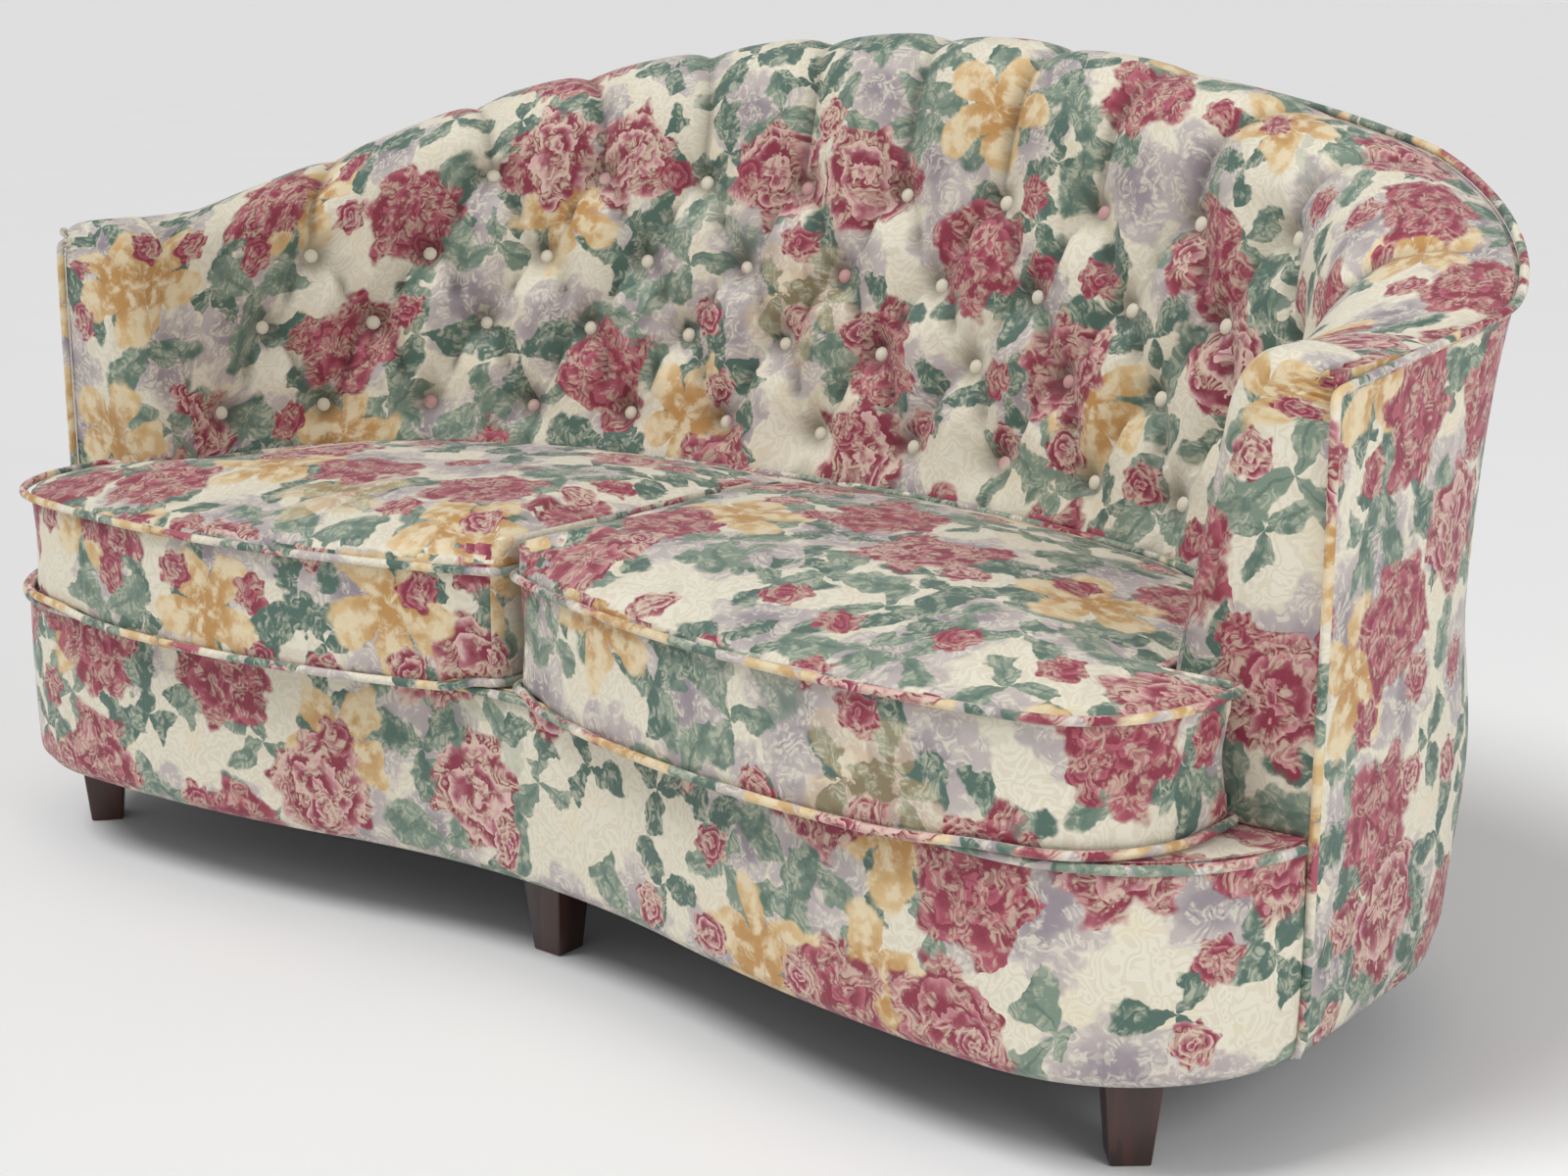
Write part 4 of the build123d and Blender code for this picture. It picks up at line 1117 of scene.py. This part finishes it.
def puckered(spots, away, tall):
    """Draws small gathers in along the seams."""
    marks = near_seam(spots)[0] * SEAM_STEP / 1000
    wave = np.sin(marks * 2 * pi / GATHER + 1.3 * np.sin(marks * 23))
    gather = wave * np.exp(-(np.hypot(away, tall) / GATHER_WIDE)**2)
    inward = unit((np.array(metres((330, 250, 350))) - spots) * (1, 1, 0))
    uneven = np.sin(spots[:, 0] * 21 + 2) * np.sin(spots[:, 1] * 17 + 1)
    sag = uneven * HOLLOW * smooth((spots[:, 2] - 0.415) / 0.02)
    lower = stack(0, 0, sag - GATHER_DOWN * np.maximum(gather, 0))
    return spots + inward * (GATHER_IN * gather)[:, None] + lower


def droop(points):
    """How far the lower edge hangs where it stands out past the base, in millimetres."""
    x, y, _, _ = front_line(np.linspace(0, FRONT_RUN - TURN_RUN, 200))
    across = points[:, 0]
    out = np.interp(across, x, y) - points[:, 1]
    return DROP * smooth((out - 6) / 14) * smooth((660 - across) / 160) * smooth((across - 6) / 50)


print("the front edge hangs up to", round(float(droop(seam).max()), 1), "mm")

# %% [markdown]
# The cloth map is laid as the cover is cut: one panel over the top, one below, and a strip
# of boxing round the sides, measured along the seam.

# %% One cushion
BOXING = 0.62


def map_cushion(bm, side):
    """The cloth map over the top, the underside and the boxing."""
    uv = bm.loops.layers.uv.new("cloth")
    line = metres(seam)
    ahead = unit(np.gradient(line, axis=0))
    for face in bm.faces:
        c = face.calc_center_median()
        boxing = abs(face.normal.z) < BOXING
        i = TREE.find((c.x, c.y, 0))[1]
        for loop in face.loops:
            p = loop.vert.co
            u = i * SEAM_STEP / 1000 + (p.x - line[i][0]) * ahead[i][0] + (p.y - line[i][1]) * ahead[i][1]
            loop[uv].uv = (u + 0.37 * side, p.z) if boxing else (p.x * side + side * 1.7, p.y + 0.3)


def filled_cushion(side, spots, faces_from):
    bm = bmesh.new()
    bm.from_mesh(faces_from)
    for vert, spot in zip(bm.verts, spots):
        vert.co = Vector(spot)
    bmesh.ops.smooth_vert(bm, verts=bm.verts[:], factor=0.5,
                          use_axis_x=True, use_axis_y=True, use_axis_z=True)
    bm.normal_update()
    map_cushion(bm, side)
    if side < 0:
        bmesh.ops.scale(bm, vec=(-1, 1, 1), verts=bm.verts[:])
        bmesh.ops.reverse_faces(bm, faces=bm.faces[:])
    name = SIDES[side] + "_cushion"
    cushion = finish_mesh(name + "_filled", bm, CUSHIONS[side], [name], FLORAL)


# %% Both cushions
DECK_TOP = 0.2925
spots = puckered(*blown(shell))
spots[:, 2] = np.maximum(spots[:, 2], DECK_TOP)
hang = droop(spots * 1000 + (0, MIDDLE, 0)) / 1000
spots[:, 2] -= hang * (1 - smooth((spots[:, 2] - LOW_SEAM) / (HIGH_SEAM - LOW_SEAM)))
edges = (seam + stack(0, 0, LOW_WELT - droop(seam)), seam + (0, 0, SEAT_WELT))
for side in (1, -1):
    filled_cushion(side, spots, shell.data)
    tubes = [tube(edge * (side, 1, 1), WELT_R, closed=True) for edge in edges]
    finish_mesh(SIDES[side] + "_cushion_piping", piping_mesh(tubes, 0.2 + side * 0.1), CUSHIONS[side],
                [SIDES[side] + "_cushion_welts"], PIPING)
bpy.data.objects.remove(shell)

# %% [markdown]
# ## Deck and underside
# Under the cushions lies the deck, and below the frame a thin black cloth keeps dust out.
# Both are flat sheets with a curved outline, so each starts as one face and is cut into a
# fine net before it sags.

# %% Flat cloths
NET = 0.04


def flat_cloth(outline, height, sag, up):
    """A net of cloth inside an outline, facing up or down."""
    bm = bmesh.new()
    rim_points = metres(np.column_stack([outline, np.full(len(outline), height)]))
    bm.faces.new([bm.verts.new(p) for p in rim_points])
    for axis, reach in ((0, 0.8), (1, 0.42)):
        for cut in np.arange(-reach, reach, NET):
            place, normal = [0, 0, 0], [0, 0, 0]
            place[axis], normal[axis] = cut, 1
            whole = bm.verts[:] + bm.edges[:] + bm.faces[:]
            bmesh.ops.bisect_plane(bm, geom=whole, plane_co=place, plane_no=normal)
    for v in [v for v in bm.verts if not v.is_boundary]:
        v.co.z += sag * (1 + 0.3 * sin(v.co.x * 19) * sin(v.co.y * 23))
    uv = bm.loops.layers.uv.new("cloth")
    for face in bm.faces:
        for loop in face.loops:
            loop[uv].uv = loop.vert.co.xy
    bm.normal_update()
    if sum(f.normal.z for f in bm.faces) * up < 0:
        bmesh.ops.reverse_faces(bm, faces=bm.faces[:])
    return bm


def closed_outline(inset_front, back_line, inset_back, reach):
    x, y, _, _ = front_line(np.linspace(-reach, reach, 90), -inset_front)
    s = np.linspace(back_line.length, -back_line.length, 120)
    bx, by, _, _ = back_line.at(s, -inset_back)
    return np.vstack([np.column_stack([x, y]), np.column_stack([bx, by])])


bm = flat_cloth(closed_outline(2, BUTTON_LINE, 0, FRONT_RUN - 24), BASE_HIGH - 0.6, -0.001, 1)
deck = finish_mesh("seat_deck_cloth", bm, SOFA, ["seat_deck"], FLORAL)
bm = flat_cloth(closed_outline(9, BASE_LINE, 9, FRONT_RUN - 4), BASE_LOW + 0.6, -0.0012, -1)
area = sum(f.calc_area() for f in bm.faces)
under = finish_mesh("underside_cloth", bm, SOFA, ["dust_cover"], BLACK_CLOTH)
print("underside", round(area, 3), "square metres")

# %% [markdown]
# ## Legs
# Short square legs taper to the floor. A cube is moved to the leg's two ends and its edges
# are eased, so they catch a thin line of light. The front legs at the corners are turned,
# and a rear leg's turn is read from how wide its solid stands.

# %% Tapered legs
LEG_TOP, LEG_FOOT, LEG_EASE = 0.026, 0.018, 0.0022
FRONT_TURN = {"front_left_leg": -40, "front_right_leg": 40}
for name in ("front_left_leg", "front_centre_leg", "front_right_leg", "rear_left_leg", "rear_right_leg"):
    lo, hi = (Vector(c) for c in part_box(name))
    centre = (lo + hi) / 2
    turn = radians(FRONT_TURN.get(name, 0))
    if name.startswith("rear"):
        spread = np.arccos(min(1, (hi.x - lo.x) / (2 * LEG_TOP * sqrt(2))))
        turn = (1 if "left" in name else -1) * (pi / 4 - spread)
    bm = bmesh.new()
    bmesh.ops.create_cube(bm, size=1)
    for vert in bm.verts:
        half, z = (LEG_TOP, BASE_LOW / 1000) if vert.co.z > 0 else (LEG_FOOT, 0)
        vert.co = Vector((vert.co.x * 2 * half, vert.co.y * 2 * half, z))
    bmesh.ops.bevel(bm, geom=bm.edges[:], offset=LEG_EASE, offset_type="OFFSET", affect="EDGES",
                    segments=3, profile=0.5, material=-1)
    place = Matrix.Translation((centre.x, centre.y, 0)) @ Matrix.Rotation(turn, 4, "Z")
    bmesh.ops.transform(bm, matrix=place, verts=bm.verts[:])
    finish_mesh(name + "_turned", bm, SOFA, [name], LEG_WOOD)

# %% [markdown]
# ## Studio
# The sofa stands on a pale floor under soft, even light, seen from its right front and a
# little above the back's height. The sky is brighter near the horizon than overhead, so the
# background stays pale while the folds keep their shade, and a broad soft sun from the left
# rakes over the buttoning.

# %% Floor
bm = bmesh.new()
bmesh.ops.create_grid(bm, x_segments=2, y_segments=2, size=40)
ground = bpy.data.meshes.new("floor")
bm.to_mesh(ground)
bm.free()
floor = bpy.data.objects.new("floor", ground)
bpy.context.scene.collection.objects.link(floor)
pale = Finish("pale_floor", 0.6)
mottle = pale.noise(pale.spot(), 2.5, 3, "3D")["Fac"]
pale.feed("Base Color", pale.mix(mottle, (0.9, 0.9, 0.9), (0.93, 0.93, 0.93)))
ground.materials.append(pale.material)
print("floor of", len(ground.polygons), "faces")

# %% Sky and lamps
HORIZON, OVERHEAD, SKY_EDGE = 0.75, 0.38, 0.25
world = bpy.data.worlds.new("studio")
sky = Nodes(world, "Background")
sky.shader.inputs["Color"].default_value = (1, 1, 1, 1)
way = sky.node("ShaderNodeTexCoord")["Generated"]
height = sky.node("ShaderNodeSeparateXYZ", {}, [way])["Z"]
fall = sky.node("ShaderNodeMapRange", {}, {"Value": height, "From Min": 0.0, "From Max": SKY_EDGE,
                                           "To Min": HORIZON, "To Max": OVERHEAD})
sky.feed("Strength", fall["Result"])
bpy.context.scene.world = world
bpy.context.scene.view_settings.view_transform = "Standard"


def soft_light(name, kind, place, aim, power):
    data = bpy.data.lights.new(name, kind)
    data.energy = power
    lamp = bpy.data.objects.new(name, data)
    lamp.location = place
    lamp.rotation_euler = (Vector(aim) - Vector(place)).to_track_quat("-Z", "Y").to_euler()
    bpy.context.scene.collection.objects.link(lamp)
    return data


soft_light("key", "SUN", (-1.0, -1.5, 3.4), (0, 0, 0.3), 1.7).angle = radians(24)
window = soft_light("window", "AREA", (3.4, -0.9, 1.9), (0.3, 0, 0.4), 36)
window.shape, window.size = "DISK", 1.8
print("lights", [lamp.name for lamp in bpy.data.lights])

# %% Camera
camera_data = bpy.data.cameras.new("camera")
camera_data.sensor_width, camera_data.lens = 36, 57.8
camera = bpy.data.objects.new("camera", camera_data)
camera.location = (1.689, -1.71 - MIDDLE / 1000, 1.006)
camera.rotation_euler = (radians(75.6), 0, radians(38.406))
bpy.context.scene.collection.objects.link(camera)
bpy.context.scene.camera = camera
print("camera stands", round(camera.location.length, 2), "m away")
